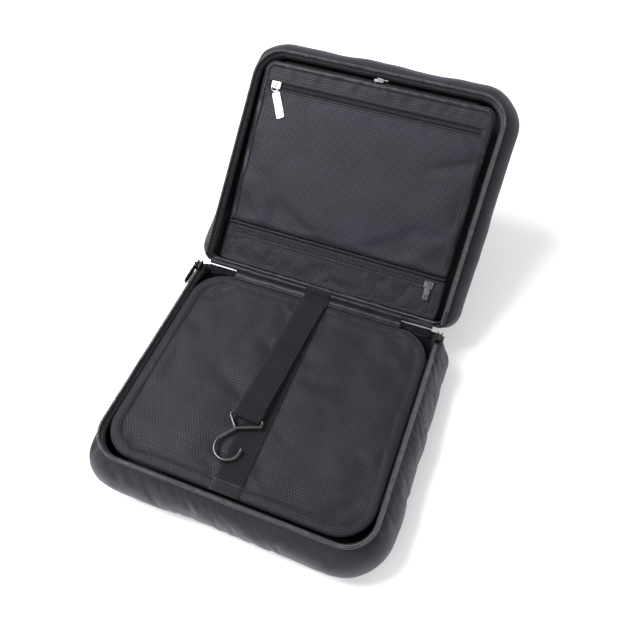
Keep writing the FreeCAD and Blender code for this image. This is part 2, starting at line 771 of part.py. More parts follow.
def main():
    os.makedirs("parts", exist_ok=True)
    nodes = {}
    for group in (base_nodes, flap_nodes, lid_nodes, page_nodes, slider_nodes):
        nodes.update(group())
    for name, shape in nodes.items():
        solids = shape.Solids
        if not solids or not shape.isValid():
            raise RuntimeError(name + " did not build")
        shape = solids[0] if len(solids) == 1 else Part.makeCompound(solids)
        shape.exportStep(os.path.join("parts", name + ".step"))
        size = shape.BoundBox
        print(f"{name:24s} {len(solids)} solid(s) {shape.Volume:10.0f} mm3  "
              f"{size.XLength:6.1f} {size.YLength:6.1f} {size.ZLength:6.1f}")


main()
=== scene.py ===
"""Looks of the cable organizer pouch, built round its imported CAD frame."""
import bmesh, bpy, math
import numpy as np
from mathutils import Matrix, Vector, noise


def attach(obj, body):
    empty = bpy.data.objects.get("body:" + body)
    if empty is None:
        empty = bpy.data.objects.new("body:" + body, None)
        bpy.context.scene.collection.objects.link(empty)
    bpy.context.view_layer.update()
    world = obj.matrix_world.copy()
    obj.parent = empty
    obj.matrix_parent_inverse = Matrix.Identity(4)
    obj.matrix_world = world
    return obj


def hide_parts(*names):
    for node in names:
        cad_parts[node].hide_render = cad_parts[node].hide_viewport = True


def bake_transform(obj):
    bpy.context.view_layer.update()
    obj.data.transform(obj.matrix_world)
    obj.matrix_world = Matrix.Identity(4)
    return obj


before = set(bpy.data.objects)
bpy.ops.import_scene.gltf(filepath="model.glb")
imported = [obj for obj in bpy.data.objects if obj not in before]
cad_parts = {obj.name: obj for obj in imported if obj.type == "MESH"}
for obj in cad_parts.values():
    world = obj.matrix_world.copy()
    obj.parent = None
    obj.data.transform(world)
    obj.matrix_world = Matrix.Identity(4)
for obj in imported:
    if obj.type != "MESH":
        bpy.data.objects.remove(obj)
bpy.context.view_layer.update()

# ---- Sizes in millimetres, as the CAD parts have them ------------------------------------
HALF, DEPTH, HINGE_Y, RIM_Z = 125.0, 218.0, 109.0, 55.0
FRONT_R, BAND = 28.0, 7.0
BASE = {"height": 55.0, "bulge": 15.0}
LID = {"height": 33.0, "bulge": 13.0}
LID_TURN, PAGE_TURN = math.radians(38), math.radians(4)
PAGE_PIVOT, PAGE_DEPTH, PAGE_HALF, PAGE_LONG = 45.0, 16.0, 115.0, 163.0
FLAP_HALF, FLAP_NEAR, FLAP_FAR, FLAP_R, FLAP_TOP = 120.0, 8.0, 212.0, 32.0, -4.5
WEB_HALF, WEB_T = 12.5, 1.5
STRAP_ROOT, STRAP_LONG, STRAP_SLANT = 12.0, 133.0, math.radians(3.5)
SKIN, LINING_INSET = 3.2, 3.35
CELL_PITCH, TOOTH_PITCH, POCKET_PITCH = 2.35, 1.45, 0.85
TEETH_START, TAPE_START = 17.0, 4.0
ZIP_V, LOWER_ZIP_V, ZIP_HALF, LOWER_ZIP_HALF = 140.0, 37.0, 106.0, 106.9
UP = np.array([0.0, 0.0, 1.0])


# ---- Places: each half's own frame has x across, v from the hinge and z up from the rim ---
def in_base(p):
    """Base frame to the part: the hinge line is the rim's rear edge."""
    return np.stack([p[..., 0], HINGE_Y - p[..., 1], RIM_Z + p[..., 2]], -1)


def in_lid(p):
    """Lid frame to the part, turned up about the hinge line."""
    c, s = math.cos(LID_TURN), math.sin(LID_TURN)
    v, z = p[..., 1], p[..., 2]
    return np.stack([p[..., 0], HINGE_Y + v * c - z * s, RIM_Z + v * s + z * c], -1)


def in_page(p):
    """Page frame to the part: its seam lies inside the lid."""
    c, s = math.cos(PAGE_TURN), math.sin(PAGE_TURN)
    y, z = p[..., 1], p[..., 2]
    return in_lid(np.stack([p[..., 0], PAGE_PIVOT + y * c - z * s,
                            -PAGE_DEPTH + y * s + z * c], -1))


LOOP_IN = 3.2 / 2 + 0.35
LOOP_OUT = LOOP_IN + WEB_T
STRAP_FLOOR = WEB_T + 0.05 - 4.5 + 0.35
STRAP_PITCH = math.asin((2 * LOOP_OUT - WEB_T) / STRAP_LONG)
BAR_LEVEL = WEB_T - LOOP_OUT


def in_strap(p):
    """Strap frame to the part: y runs from its root to the hook bar."""
    c, s = math.cos(STRAP_PITCH), math.sin(STRAP_PITCH)
    y = p[..., 1] * c - p[..., 2] * s
    z = p[..., 1] * s + p[..., 2] * c
    ca, sa = math.cos(math.pi - STRAP_SLANT), math.sin(math.pi - STRAP_SLANT)
    return np.stack([p[..., 0] * ca - y * sa, HINGE_Y - STRAP_ROOT + p[..., 0] * sa + y * ca,
                     RIM_Z + STRAP_FLOOR + z], -1)


# ---- Mesh building ------------------------------------------------------------------------
def add_mesh(name, points, faces, material, plan=None):
    """An object from points in millimetres; plan holds each point's place on the flat cloth."""
    mesh = bpy.data.meshes.new(name)
    mesh.from_pydata((np.asarray(points, float) / 1000).tolist(), [], faces)
    mesh.validate()
    if plan is not None:
        layer = mesh.attributes.new("plan", "FLOAT_VECTOR", "POINT")
        flat = np.zeros((len(points), 3), np.float32)
        flat[:, :plan.shape[1]] = plan
        layer.data.foreach_set("vector", flat.ravel())
    mesh.polygons.foreach_set("use_smooth", [True] * len(mesh.polygons))
    obj = bpy.data.objects.new(name, mesh)
    bpy.context.scene.collection.objects.link(obj)
    mesh.materials.append(material)
    fix_normals(obj)
    return obj


def fix_normals(obj):
    """Faces all look outwards."""
    work = bmesh.new()
    work.from_mesh(obj.data)
    bmesh.ops.recalc_face_normals(work, faces=work.faces)
    work.to_mesh(obj.data)
    work.free()


def grid_faces(rows, columns, wrap=False, first=0):
    faces = []
    for i in range(rows - 1):
        for j in range(columns - (0 if wrap else 1)):
            k = (j + 1) % columns
            faces.append((first + i * columns + j, first + i * columns + k,
                          first + (i + 1) * columns + k, first + (i + 1) * columns + j))
    return faces


def row_caps(rows, columns):
    """Faces over both ends of a bar whose rows run along it."""
    return [tuple(k * columns for k in range(rows)),
            tuple(k * columns + columns - 1 for k in reversed(range(rows)))]


def bar_faces(rows, columns, capped=True):
    """Skin of a bar whose rows run along it, the last row joined to the first."""
    last = (rows - 1) * columns
    faces = grid_faces(rows, columns) + [(last + j, last + j + 1, j + 1, j) for j in range(columns - 1)]
    return faces + (row_caps(rows, columns) if capped else [])


def strip_faces(rows, columns):
    """Skin of a strip whose rows are rings across it, with both ends closed."""
    faces = grid_faces(rows, columns, True)
    faces.append(tuple(reversed(range(columns))))
    faces.append(tuple((rows - 1) * columns + j for j in range(columns)))
    return faces


def pad_faces(rows, columns):
    """Top grid, bottom grid under it and the wall between their edges."""
    n = rows * columns
    under = grid_faces(rows, columns, first=n)
    ring = [j for j in range(columns)] + [i * columns + columns - 1 for i in range(1, rows)]
    ring += [(rows - 1) * columns + j for j in reversed(range(columns - 1))]
    ring += [i * columns for i in reversed(range(1, rows - 1))]
    wall = [(a, b, b + n, a + n) for a, b in zip(ring, ring[1:] + ring[:1])]
    return grid_faces(rows, columns) + [tuple(reversed(f)) for f in under] + wall


def grid_plan(grid, wrap=False):
    """Distances along both ways of a grid, in millimetres."""
    along = np.linalg.norm(np.diff(grid, axis=1), axis=-1)
    across = np.linalg.norm(np.diff(grid, axis=0), axis=-1)
    middle = along[along.shape[0] // 2] if not wrap else along.max(0)
    u = np.concatenate([[0], np.cumsum(middle)])
    v = np.concatenate([[0], np.cumsum(np.median(across, axis=1))])
    return np.stack(np.meshgrid(u, v), -1).reshape(-1, 2)


def grid_mesh(name, place, rows, faces, material):
    """A mesh from rows of points in a half's frame, with its plan measured along the rows."""
    grid = np.array(rows)
    return add_mesh(name, place(grid.reshape(-1, 3)), faces, material, grid_plan(grid))


def finish_piece(obj, body, nodes=()):
    """Rides a body and stands for CAD nodes."""
    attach(obj, body)
    if nodes:
        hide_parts(*nodes)


def subdivide(obj):
    mod = obj.modifiers.new("Smooth", "SUBSURF")
    mod.levels = mod.render_levels = 1


def ripple(points, size, amount, seed=0.0):
    """Soft uneven dents: one number for each point."""
    out = np.empty(len(points))
    for k, p in enumerate(points):
        q = Vector((p[0] / size + seed, p[1] / size - seed, p[2] / size + 2 * seed))
        out[k] = noise.noise(q) * 0.7 + noise.noise(q * 2.3) * 0.3
    return out * amount


def ripple_on(x, v, *waves):
    """Sum of soft dents on a plan; each wave is (size, amount, seed)."""
    flat = np.stack([x, v, x * 0], -1).reshape(-1, 3)
    return sum(ripple(flat, *wave).reshape(x.shape) for wave in waves)


def creases(x, v, *lines):
    """Sum of valleys on a plan; each line is (start, end, depth, width)."""
    return sum(crease(x, v, *line) for line in lines)


def crease(x, y, start, end, depth, width):
    """Valley along a line, deepest in its first half and fading to its end."""
    a, b = np.array(start, float), np.array(end, float)
    d = b - a
    long = np.linalg.norm(d)
    t = ((x - a[0]) * d[0] + (y - a[1]) * d[1]) / long ** 2
    off = ((x - a[0]) * -d[1] + (y - a[1]) * d[0]) / long
    fade = np.clip(np.minimum((t + 0.12) / 0.25, (1.1 - t) / 0.7), 0, 1)
    fade = fade * fade * (3 - 2 * fade)
    wide = width * (0.6 + 0.8 * np.clip(t, 0, 1))
    return -depth * fade * np.exp(-(off / wide) ** 2)


def settle(points, faces, hold, pressure, shrink, cap):
    """Cloth simulation of a closed skin, in millimetres; hold marks the points that stay."""
    points = np.asarray(points, float)
    mesh = bpy.data.meshes.new("cloth")
    mesh.from_pydata((points / 1000).tolist(), [], faces)
    obj = bpy.data.objects.new("cloth", mesh)
    scene = bpy.context.scene
    scene.collection.objects.link(obj)
    fix_normals(obj)
    group = obj.vertex_groups.new(name="hold")
    for k, w in enumerate(hold):
        if w > 0:
            group.add([k], float(w), "REPLACE")
    mod = obj.modifiers.new("Cloth", "CLOTH")
    s = mod.settings
    s.vertex_group_mass = "hold"
    s.use_pressure = True
    s.uniform_pressure_force = pressure
    s.shrink_min = shrink
    s.quality = 5
    s.mass = 0.15
    s.tension_stiffness = s.compression_stiffness = 18
    s.shear_stiffness = 6
    s.bending_stiffness = 0.35
    s.effector_weights.gravity = 0
    mod.collision_settings.use_collision = False
    mod.point_cache.frame_start, mod.point_cache.frame_end = 1, 20
    for f in range(1, 21):
        scene.frame_set(f)
    done = obj.evaluated_get(bpy.context.evaluated_depsgraph_get())
    out = np.array([v.co for v in done.data.vertices], float).reshape(-1, 3) * 1000
    bpy.data.objects.remove(obj)
    scene.frame_set(1)
    shift = out - points
    size = np.linalg.norm(shift, axis=1, keepdims=True)
    return points + shift * (np.tanh(size / cap) * cap / np.maximum(size, 1e-6))


# ---- Materials ----------------------------------------------------------------------------
def new_material(name):
    mat = bpy.data.materials.new(name)
    mat.use_nodes = True
    tree = mat.node_tree
    return mat, tree, tree.nodes["Principled BSDF"]


class Nodes:
    """Short ways to add shader nodes to one tree."""

    def __init__(self, tree):
        self.tree = tree

    def link(self, a, b):
        self.tree.links.new(a, b)

    def put(self, socket, value):
        """Joins a socket, or sets a plain number."""
        if isinstance(value, bpy.types.NodeSocket):
            self.link(value, socket)
        else:
            socket.default_value = value

    def math(self, kind, a, b=0.0, clamp=False):
        node = self.tree.nodes.new("ShaderNodeMath")
        node.operation = kind
        node.use_clamp = clamp
        self.put(node.inputs[0], a)
        self.put(node.inputs[1], b)
        return node.outputs[0]

    def plan(self):
        node = self.tree.nodes.new("ShaderNodeAttribute")
        node.attribute_name = "plan"
        split = self.tree.nodes.new("ShaderNodeSeparateXYZ")
        self.link(node.outputs["Vector"], split.inputs[0])
        return split.outputs[0], split.outputs[1]

    def cosine(self, x, y, fx, fy, phase=0.0):
        """cos of a wave with fx, fy turns for each millimetre."""
        a = self.math("MULTIPLY", x, 2 * math.pi * fx)
        b = self.math("MULTIPLY", y, 2 * math.pi * fy)
        return self.math("COSINE", self.math("ADD", self.math("ADD", a, b), phase))

    def noise(self, scale, detail):
        node = self.tree.nodes.new("ShaderNodeTexNoise")
        node.inputs["Scale"].default_value = scale
        node.inputs["Detail"].default_value = detail
        coords = self.tree.nodes.new("ShaderNodeTexCoord")
        self.link(coords.outputs["Object"], node.inputs["Vector"])
        return node.outputs["Fac"]

    def ramp(self, value, low, high, out_low=0.0, out_high=1.0):
        node = self.tree.nodes.new("ShaderNodeMapRange")
        self.put(node.inputs[0], value)
        for k, v in enumerate((low, high, out_low, out_high), 1):
            node.inputs[k].default_value = v
        return node.outputs[0]

    def mix(self, factor, a, b):
        node = self.tree.nodes.new("ShaderNodeMix")
        node.data_type = "RGBA"
        self.put(node.inputs["Factor"], factor)
        node.inputs[6].default_value = (*a, 1)
        node.inputs[7].default_value = (*b, 1)
        return node.outputs[2]

    def bump(self, shader, height, distance, strength):
        node = self.tree.nodes.new("ShaderNodeBump")
        node.inputs["Distance"].default_value = distance
        node.inputs["Strength"].default_value = strength
        self.link(height, node.inputs["Height"])
        self.link(node.outputs[0], shader.inputs["Normal"])


def cloth_finish(shader, roughness, sheen):
    """Dull cloth: little mirror light and a faint cool sheen."""
    shader.inputs["Roughness"].default_value = roughness
    shader.inputs["Sheen Weight"].default_value = sheen
    shader.inputs["Sheen Roughness"].default_value = 0.45
    shader.inputs["Sheen Tint"].default_value = (0.75, 0.74, 0.85, 1)
    shader.inputs["Specular IOR Level"].default_value = 0.18


def honeycomb(name, dark, light):
    """Fine dobby weave of small raised hexagons on a plain ground."""
    mat, tree, shader = new_material(name)
    n = Nodes(tree)
    x, y = n.plan()
    f = 1 / CELL_PITCH
    waves = [n.cosine(x, y, f * math.cos(a), f * math.sin(a))
             for a in (math.pi / 2, math.pi * 7 / 6, math.pi * 11 / 6)]
    cells = n.math("ADD", n.math("ADD", waves[0], waves[1]), waves[2])
    raised = n.ramp(cells, -1.1, 1.6)
    warp = n.cosine(x, y, 2.1, 0.0)
    weft = n.cosine(x, y, 0.0, 2.1)
    thread = n.math("MULTIPLY", n.math("MULTIPLY", warp, weft), 0.14)
    wear = n.ramp(n.noise(26, 4), 0.3, 0.75, -0.16, 0.22)
    tone = n.math("ADD", n.math("ADD", n.math("MULTIPLY", raised, 0.75), thread), wear, True)
    n.link(n.mix(tone, dark, light), shader.inputs["Base Color"])
    height = n.math("ADD", raised, thread)
    n.bump(shader, height, 0.0003, 0.6)
    cloth_finish(shader, 0.52, 0.16)
    n.link(n.ramp(raised, 0, 1, 0.66, 0.42), shader.inputs["Roughness"])
    return mat


def ripstop(name, dark, light):
    """Plain weave with a slant and a faint square of thicker threads."""
    mat, tree, shader = new_material(name)
    n = Nodes(tree)
    x, y = n.plan()
    slant = n.cosine(x, y, 0.62, 0.62)
    cross = n.cosine(x, y, 0.62, -0.62)
    weave = n.math("MULTIPLY", slant, cross)
    fine = n.cosine(x, y, 1.7, 0.4)
    height = n.math("ADD", n.math("MULTIPLY", weave, 0.5), n.math("MULTIPLY", fine, 0.3))
    wear = n.ramp(n.noise(18, 5), 0.3, 0.75, 0.0, 0.55)
    grain = n.ramp(n.noise(900, 2), 0.3, 0.7, -0.2, 0.2)
    tone = n.math("ADD", n.math("ADD", n.ramp(height, -0.8, 0.8, 0.1, 0.6), wear), grain, True)
    n.link(n.mix(tone, dark, light), shader.inputs["Base Color"])
    n.bump(shader, height, 0.00028, 0.7)
    cloth_finish(shader, 0.62, 0.3)
    return mat


def ribbed(name, dark, light, pitch, across=True, sheen=0.25, depth=0.0004):
    """Woven tape: ribs along or across its length, with small cross threads."""
    mat, tree, shader = new_material(name)
    n = Nodes(tree)
    x, y = n.plan()
    if not across:
        x, y = y, x
    rib = n.cosine(x, y, 1 / pitch, 0.0)
    thread = n.cosine(x, y, 0.5 / pitch, 0.8)
    height = n.math("ADD", n.math("MULTIPLY", rib, 0.6), n.math("MULTIPLY", thread, 0.25))
    wear = n.ramp(n.noise(60, 4), 0.3, 0.7, -0.15, 0.2)
    tone = n.math("ADD", n.ramp(height, -0.8, 0.8), wear, True)
    n.link(n.mix(tone, dark, light), shader.inputs["Base Color"])
    n.bump(shader, height, depth, 0.8)
    cloth_finish(shader, 0.6, sheen)
    return mat


def satin(name, dark, light, rough):
    """Smooth lining cloth with a low sheen and small puckers."""
    mat, tree, shader = new_material(name)
    n = Nodes(tree)
    x, y = n.plan()
    twill = n.cosine(x, y, 1.3, 0.8)
    pucker = n.noise(85, 3)
    height = n.math("ADD", n.math("MULTIPLY", twill, 0.08), pucker)
    tone = n.math("ADD", n.ramp(pucker, 0.3, 0.7), n.math("MULTIPLY", twill, 0.06), True)
    n.link(n.mix(tone, dark, light), shader.inputs["Base Color"])
    n.bump(shader, height, 0.0007, 0.5)
    cloth_finish(shader, rough, 0.15)
    return mat


def solid(name, dark, light, rough, metal=0.0, scale=300.0, depth=0.00008, coat=0.0):
    """Moulded or plated surface with faint mottling and scuffs."""
    mat, tree, shader = new_material(name)
    n = Nodes(tree)
    grain = n.noise(scale, 4)
    scuff = n.ramp(n.noise(scale / 6, 5), 0.45, 0.7)
    n.link(n.mix(n.ramp(grain, 0.3, 0.7), dark, light), shader.inputs["Base Color"])
    n.link(n.ramp(scuff, 0, 1, rough, min(1.0, rough + 0.16)), shader.inputs["Roughness"])
    shader.inputs["Metallic"].default_value = metal
    shader.inputs["Coat Weight"].default_value = coat
    n.bump(shader, grain, depth, 0.6)
    return mat


M_SHELL = ripstop("outer_nylon", (0.0026, 0.0023, 0.0040), (0.0100, 0.0090, 0.0145))
M_DOBBY = honeycomb("dobby_nylon", (0.0040, 0.0036, 0.0062), (0.0150, 0.0136, 0.0215))
# page cloth: the flap's dobby weave in lighter colours; the extra lightness is partly painted light, for
# the page tilted towards the lamps
M_PAGE_DOBBY_PAINTED_LIGHT = honeycomb("page_nylon_painted_light", (0.0060, 0.0054, 0.0090), (0.0205, 0.0188, 0.0290))
M_LINING = satin("lining", (0.0014, 0.0013, 0.0024), (0.0055, 0.0052, 0.0090), 0.42)
M_SATIN = satin("satin", (0.0022, 0.0020, 0.0036), (0.0080, 0.0073, 0.0120), 0.36)
M_TAPE = ribbed("zip_tape", (0.0010, 0.0010, 0.0016), (0.0042, 0.0040, 0.0058), 1.2)
M_HEM = honeycomb("hem_nylon", (0.0040, 0.0036, 0.0062), (0.0125, 0.0114, 0.0180))
M_BIND = ribbed("binding_tape", (0.0024, 0.0022, 0.0036), (0.0085, 0.0078, 0.0125), 1.6, False)
M_WEB = ribbed("webbing", (0.0008, 0.0008, 0.0013), (0.0078, 0.0072, 0.0105), 2.3,
               sheen=0.05, depth=0.0008)
M_THREAD = solid("thread", (0.0012, 0.0011, 0.0017), (0.0042, 0.0040, 0.0058), 0.7)
M_TEETH = solid("zip_teeth", (0.05, 0.05, 0.053), (0.22, 0.22, 0.226), 0.28, 0.4)
M_GUN = solid("gunmetal", (0.022, 0.022, 0.025), (0.07, 0.07, 0.075), 0.34, 1.0)
M_CORE = solid("zip_core", (0.003, 0.003, 0.004), (0.010, 0.010, 0.013), 0.6)
M_COIL = solid("pocket_coil", (0.005, 0.005, 0.007), (0.024, 0.024, 0.028), 0.35)
M_WIRE = solid("coated_wire", (0.0028, 0.0028, 0.0036), (0.0080, 0.0080, 0.0095), 0.28,
               scale=120, depth=0.0001, coat=0.2)
M_BRIGHT = solid("bright_metal", (0.26, 0.26, 0.27), (0.50, 0.50, 0.52), 0.24, 1.0)
M_DARK = solid("dark_metal", (0.07, 0.07, 0.076), (0.18, 0.18, 0.19), 0.30, 1.0)


# ---- The rim --------------------------------------------------------------------------------
def spaced(a, b, step):
    """Even places from a to b, about step apart."""
    return np.linspace(a, b, max(2, int(round(abs(b - a) / step)) + 1))


def arc(centre, radius, start, end, count):
    """Points from one angle to the next round a centre, with the last one left out."""
    angles = np.linspace(start, end, count)[:-1]
    return [(centre[0] + radius * math.cos(a), centre[1] + radius * math.sin(a)) for a in angles]


def rim_path(start, step):
    """(x, v), outward direction and length along three sides of the rim, left to right."""
    cx, cv = HALF - FRONT_R, DEPTH - FRONT_R
    pts, out = [], []
    for v in spaced(start, cv, step)[:-1]:
        pts.append((-HALF, v))
        out.append((-1, 0))
    for a in np.linspace(math.pi, math.pi / 2, 22)[:-1]:
        pts.append((-cx + FRONT_R * math.cos(a), cv + FRONT_R * math.sin(a)))
        out.append((math.cos(a), math.sin(a)))
    for x in spaced(-cx, cx, step)[:-1]:
        pts.append((x, DEPTH))
        out.append((0, 1))
    for a in np.linspace(math.pi / 2, 0, 22)[:-1]:
        pts.append((cx + FRONT_R * math.cos(a), cv + FRONT_R * math.sin(a)))
        out.append((math.cos(a), math.sin(a)))
    for v in spaced(cv, start, step):
        pts.append((HALF, v))
        out.append((1, 0))
    pts, out = np.array(pts), np.array(out, float)
    along = np.concatenate([[0], np.cumsum(np.linalg.norm(np.diff(pts, axis=0), axis=1))])
    return pts, out, along


def resample(along, values, places):
    """Values read at distances along a line."""
    return np.stack([np.interp(places, along, values[:, k]) for k in range(values.shape[1])], -1)


def rim_sweep(name, place, section, start, material, waver=0.0):
    """Strip or bar along the rim; section lists (outward, z) points round its outline."""
    pts, out, along = rim_path(start, 3.0)
    wave = np.array([noise.noise(Vector((s / 23.0, len(section) * 1.7, 0))) for s in along])
    rows = []
    for u, z in section:
        shift = wave * waver
        p = pts + out * (u + shift)[:, None]
        rows.append(np.column_stack([p, np.full(len(p), z) + 0.4 * shift]))
    rows.append(rows[0])
    grid = np.array(rows)
    count = len(along)
    faces = grid_faces(len(rows), count) + row_caps(len(rows) - 1, count)
    return add_mesh(name, place(grid.reshape(-1, 3)), faces, material, grid_plan(grid)[:, ::-1])


def bead(length, width, height, rings=5, around=8):
    """Rounded bead about the origin: x along the chain, y across, z up."""
    pts, faces = [], []
    for i in range(rings):
        t = math.pi * (i + 0.5) / rings
        r = math.sin(t) ** 0.55
        for j in range(around):
            a = 2 * math.pi * j / around
            pts.append((length / 2 * r * math.cos(a), -width / 2 * math.cos(t),
                        height / 2 * r * math.sin(a)))
    faces = grid_faces(rings, around, True)
    faces.append(tuple(range(around)))
    faces.append(tuple(reversed(range((rings - 1) * around, rings * around))))
    return np.array(pts), faces


def scatter(name, shape, frames, material, place):
    """Copies of a small shape; frames holds (origin, along, across, up) in a half's frame."""
    base, faces = shape
    points, all_faces = [], []
    for k, (o, a, b, c) in enumerate(frames):
        points.append(o + base[:, :1] * a + base[:, 1:2] * b + base[:, 2:3] * c)
        all_faces += [tuple(i + k * len(base) for i in f) for f in faces]
    return add_mesh(name, place(np.concatenate(points)), all_faces, material)


def rim_teeth(name, place, body, node):
    """One coil of the main zip as separate rounded teeth, with its sewing line on top."""
    pts, out, along = rim_path(TEETH_START, 2.0)
    places = np.arange(0.6, along[-1] - 0.4, TOOTH_PITCH)
    p, o = resample(along, pts, places), resample(along, out, places)
    frames = []
    for q, d in zip(p, o):
        d = d / np.linalg.norm(d)
        across = np.array([d[0], d[1], 0])
        centre = np.array([q[0], q[1], -1.25]) - across * 0.6
        frames.append((centre, np.array([-d[1], d[0], 0]), across, np.array([0, 0, 1.0])))
    teeth = scatter(name, bead(0.82, 2.5, 2.2), frames, M_TEETH, place)
    finish_piece(teeth, body, [node])
    core = rim_sweep(name + "_core", place, [(-0.85, -0.25), (-0.6, 0.05), (-0.35, -0.25)],
                     TEETH_START, M_CORE)
    finish_piece(core, body)


def rim_tape(name, place, body, node):
    """Zip tape: an upright band under the teeth and a lip turned in over the lining."""
    section = [(0.45, -8.2), (0.55, -5.0), (0.25, -2.6), (-1.0, -2.45), (-2.0, -3.2),
               (-3.0, -6.0), (-3.7, -9.5), (-2.6, -9.5), (-1.9, -6.4), (-1.1, -4.6), (-0.7, -8.2)]
    tape = rim_sweep(name, place, section, TAPE_START, M_TAPE, waver=0.35)
    finish_piece(tape, body, [node])


# ---- Shells -----------------------------------------------------------------------------------
def plan_loop(offset, rear, rr):
    """Closed plan outline with a fixed count of points, from the rear left corner round."""
    hx, front = HALF + offset, DEPTH + offset
    fr = max(5.0, FRONT_R + offset)
    pts = []
    turn = math.pi / 2
    pts += [(-hx, v) for v in np.linspace(rear + rr, front - fr, 49)[:-1]]
    pts += arc((-hx + fr, front - fr), fr, 2 * turn, turn, 15)
    pts += [(x, front) for x in np.linspace(-hx + fr, hx - fr, 55)[:-1]]
    pts += arc((hx - fr, front - fr), fr, turn, 0, 15)
    pts += [(hx, v) for v in np.linspace(front - fr, rear + rr, 49)[:-1]]
    pts += arc((hx - rr, rear + rr), rr, 0, -turn, 9)
    pts += [(x, rear) for x in np.linspace(hx - rr, -hx + rr, 61)[:-1]]
    pts += arc((-hx + rr, rear + rr), rr, -turn, -2 * turn, 9)
    return np.array(pts)


def wall_levels(spec, inset, steps):
    """(outward, z) down the bulging wall, then in across the bottom."""
    drop = spec["height"] - BAND
    total = spec["bulge"] + drop
    radius = total - math.sqrt(total ** 2 - spec["bulge"] ** 2 - drop ** 2)
    cu, cz = spec["bulge"] - radius, radius - spec["height"]
    r = radius - inset
    start = math.atan2(math.sqrt(max(0.0, r * r - (-inset - cu) ** 2)), -inset - cu)
    levels = [(-inset, -BAND)] if r * math.sin(start) + cz < -BAND - 0.3 else []
    for a in np.linspace(start, -math.pi / 2, steps):
        levels.append((cu + r * math.cos(a), cz + r * math.sin(a)))
    for step in (7, 18, 34, 56, 84):
        levels.append((cu - step, cz - r))
    return levels


def shell_grid(spec, inset, steps):
    """Rows of points down a half's wall and in under its panel, at an inset."""
    rows = []
    for u, z in wall_levels(spec, inset, steps):
        rise = z + spec["height"] - inset
        edge = 8.0 - inset if inset < 3 else 5.0
        rear = 0.2 + inset
        if rise < edge:
            rear += edge - math.sqrt(max(0.0, edge ** 2 - (edge - rise) ** 2))
        deep = max(0.0, -10.0 - u)
        rear += deep
        corner = min(20.0, 4.0 + 1.4 * max(0.0, u + inset)) if z > -spec["height"] + 9 else 16.0
        plan = plan_loop(u, rear, corner)
        rows.append(np.column_stack([plan, np.full(len(plan), z)]))
    return np.array(rows)


def densify(grid):
    """Twice the rows and columns through the same points; columns run round in a ring."""
    before, after, far = (np.roll(grid, k, 1) for k in (1, -1, -2))
    middle = (grid + after) * 0.5625 - (before + far) * 0.0625
    wide = np.stack([grid, middle], 2).reshape(grid.shape[0], -1, 3)
    ends = np.concatenate([wide[:1], wide, wide[-1:]])
    between = (ends[1:-2] + ends[2:-1]) * 0.5625 - (ends[:-3] + ends[3:]) * 0.0625
    out = np.empty((wide.shape[0] * 2 - 1, wide.shape[1], 3))
    out[::2], out[1::2] = wide, between
    return out


def lean(points):
    """The left walls stand straighter than the right ones."""
    out = points.copy()
    past = np.minimum(points[..., 0] + HALF, 0)
    out[..., 0] -= past * 0.5 * np.clip((points[..., 1] - 10) / 40, 0, 1)
    return out


def build_shell(name, spec, place, nodes, seed):
    """Outer fabric over the foam: a cloth-settled skin, its rolled rim and its inner face."""
    outer = lean(shell_grid(spec, 0.0, 15))
    rows, count = outer.shape[:2]
    pts = outer.reshape(-1, 3)
    faces = grid_faces(rows, count, True)
    faces.append(tuple((rows - 1) * count + j for j in range(count)))
    faces.append(tuple(reversed(range(count))))
    hold = np.zeros((rows, count))
    hold[0] = hold[-6:] = 1.0
    hold[1] = 0.4
    hold = np.maximum(hold, np.clip((14 - outer[..., 1]) / 8, 0, 1))
    pts = settle(pts, faces, hold.ravel(), 3.0, -0.012, 2.2)
    grid = pts.reshape(rows, count, 3)
    away = grid - np.array([0, DEPTH / 2, -spec["height"] / 2])
    away[..., 2] *= 0.3
    away /= np.linalg.norm(away, axis=-1, keepdims=True)
    # out of the wall on the sides, straight out of the flat panel; the base's panel rests flat
    wall = np.clip((grid[..., 2] + spec["height"]) / 10, 0, 1)
    away = away * wall[..., None] + np.array([0, 0, -1.0]) * (1 - wall)[..., None]
    away /= np.linalg.norm(away, axis=-1, keepdims=True)
    row = np.arange(rows)[:, None]
    level = np.clip(row / 3.0, 0, 1) * np.clip((rows - 5 - row) / 3.0, 0, 1)
    soft = ripple(pts, 48.0, 2.4, seed).reshape(rows, count)
    soft += ripple(pts * np.array([1, 1, 0.5]), 20.0, 0.5, seed + 3).reshape(rows, count)
    spine = np.clip((grid[..., 1] - 4) / 14, 0, 1)
    if name == "base":
        spine = spine * wall
    grid = grid + away * (soft * level * spine)[..., None]
    # the rim rolls in over the foam and goes down to the lining
    top = grid[0]
    inward = -away[0] * np.array([1, 1, 0])
    inward /= np.linalg.norm(inward, axis=1, keepdims=True)
    lip = [top + inward * 1.6 + [0, 0, 0.7], top + inward * 3.0 + [0, 0, -0.4],
           top + inward * 3.2 + [0, 0, -3.0]]
    inside = lean(shell_grid(spec, SKIN, 9))
    full = densify(np.concatenate([inside[::-1][:-1], np.array(lip)[::-1], grid]))
    total, count = full.shape[:2]
    outside = np.array(place(full.reshape(-1, 3)))
    outside[:, 2] = np.maximum(outside[:, 2], 0)
    plan = grid_plan(np.concatenate([full, full[:, :1]], 1), True).reshape(total, count + 1, 2)
    shell = add_mesh(name + "_shell", outside, strip_faces(total, count), M_SHELL,
                     plan[:, :-1].reshape(-1, 2))
    finish_piece(shell, name, nodes)


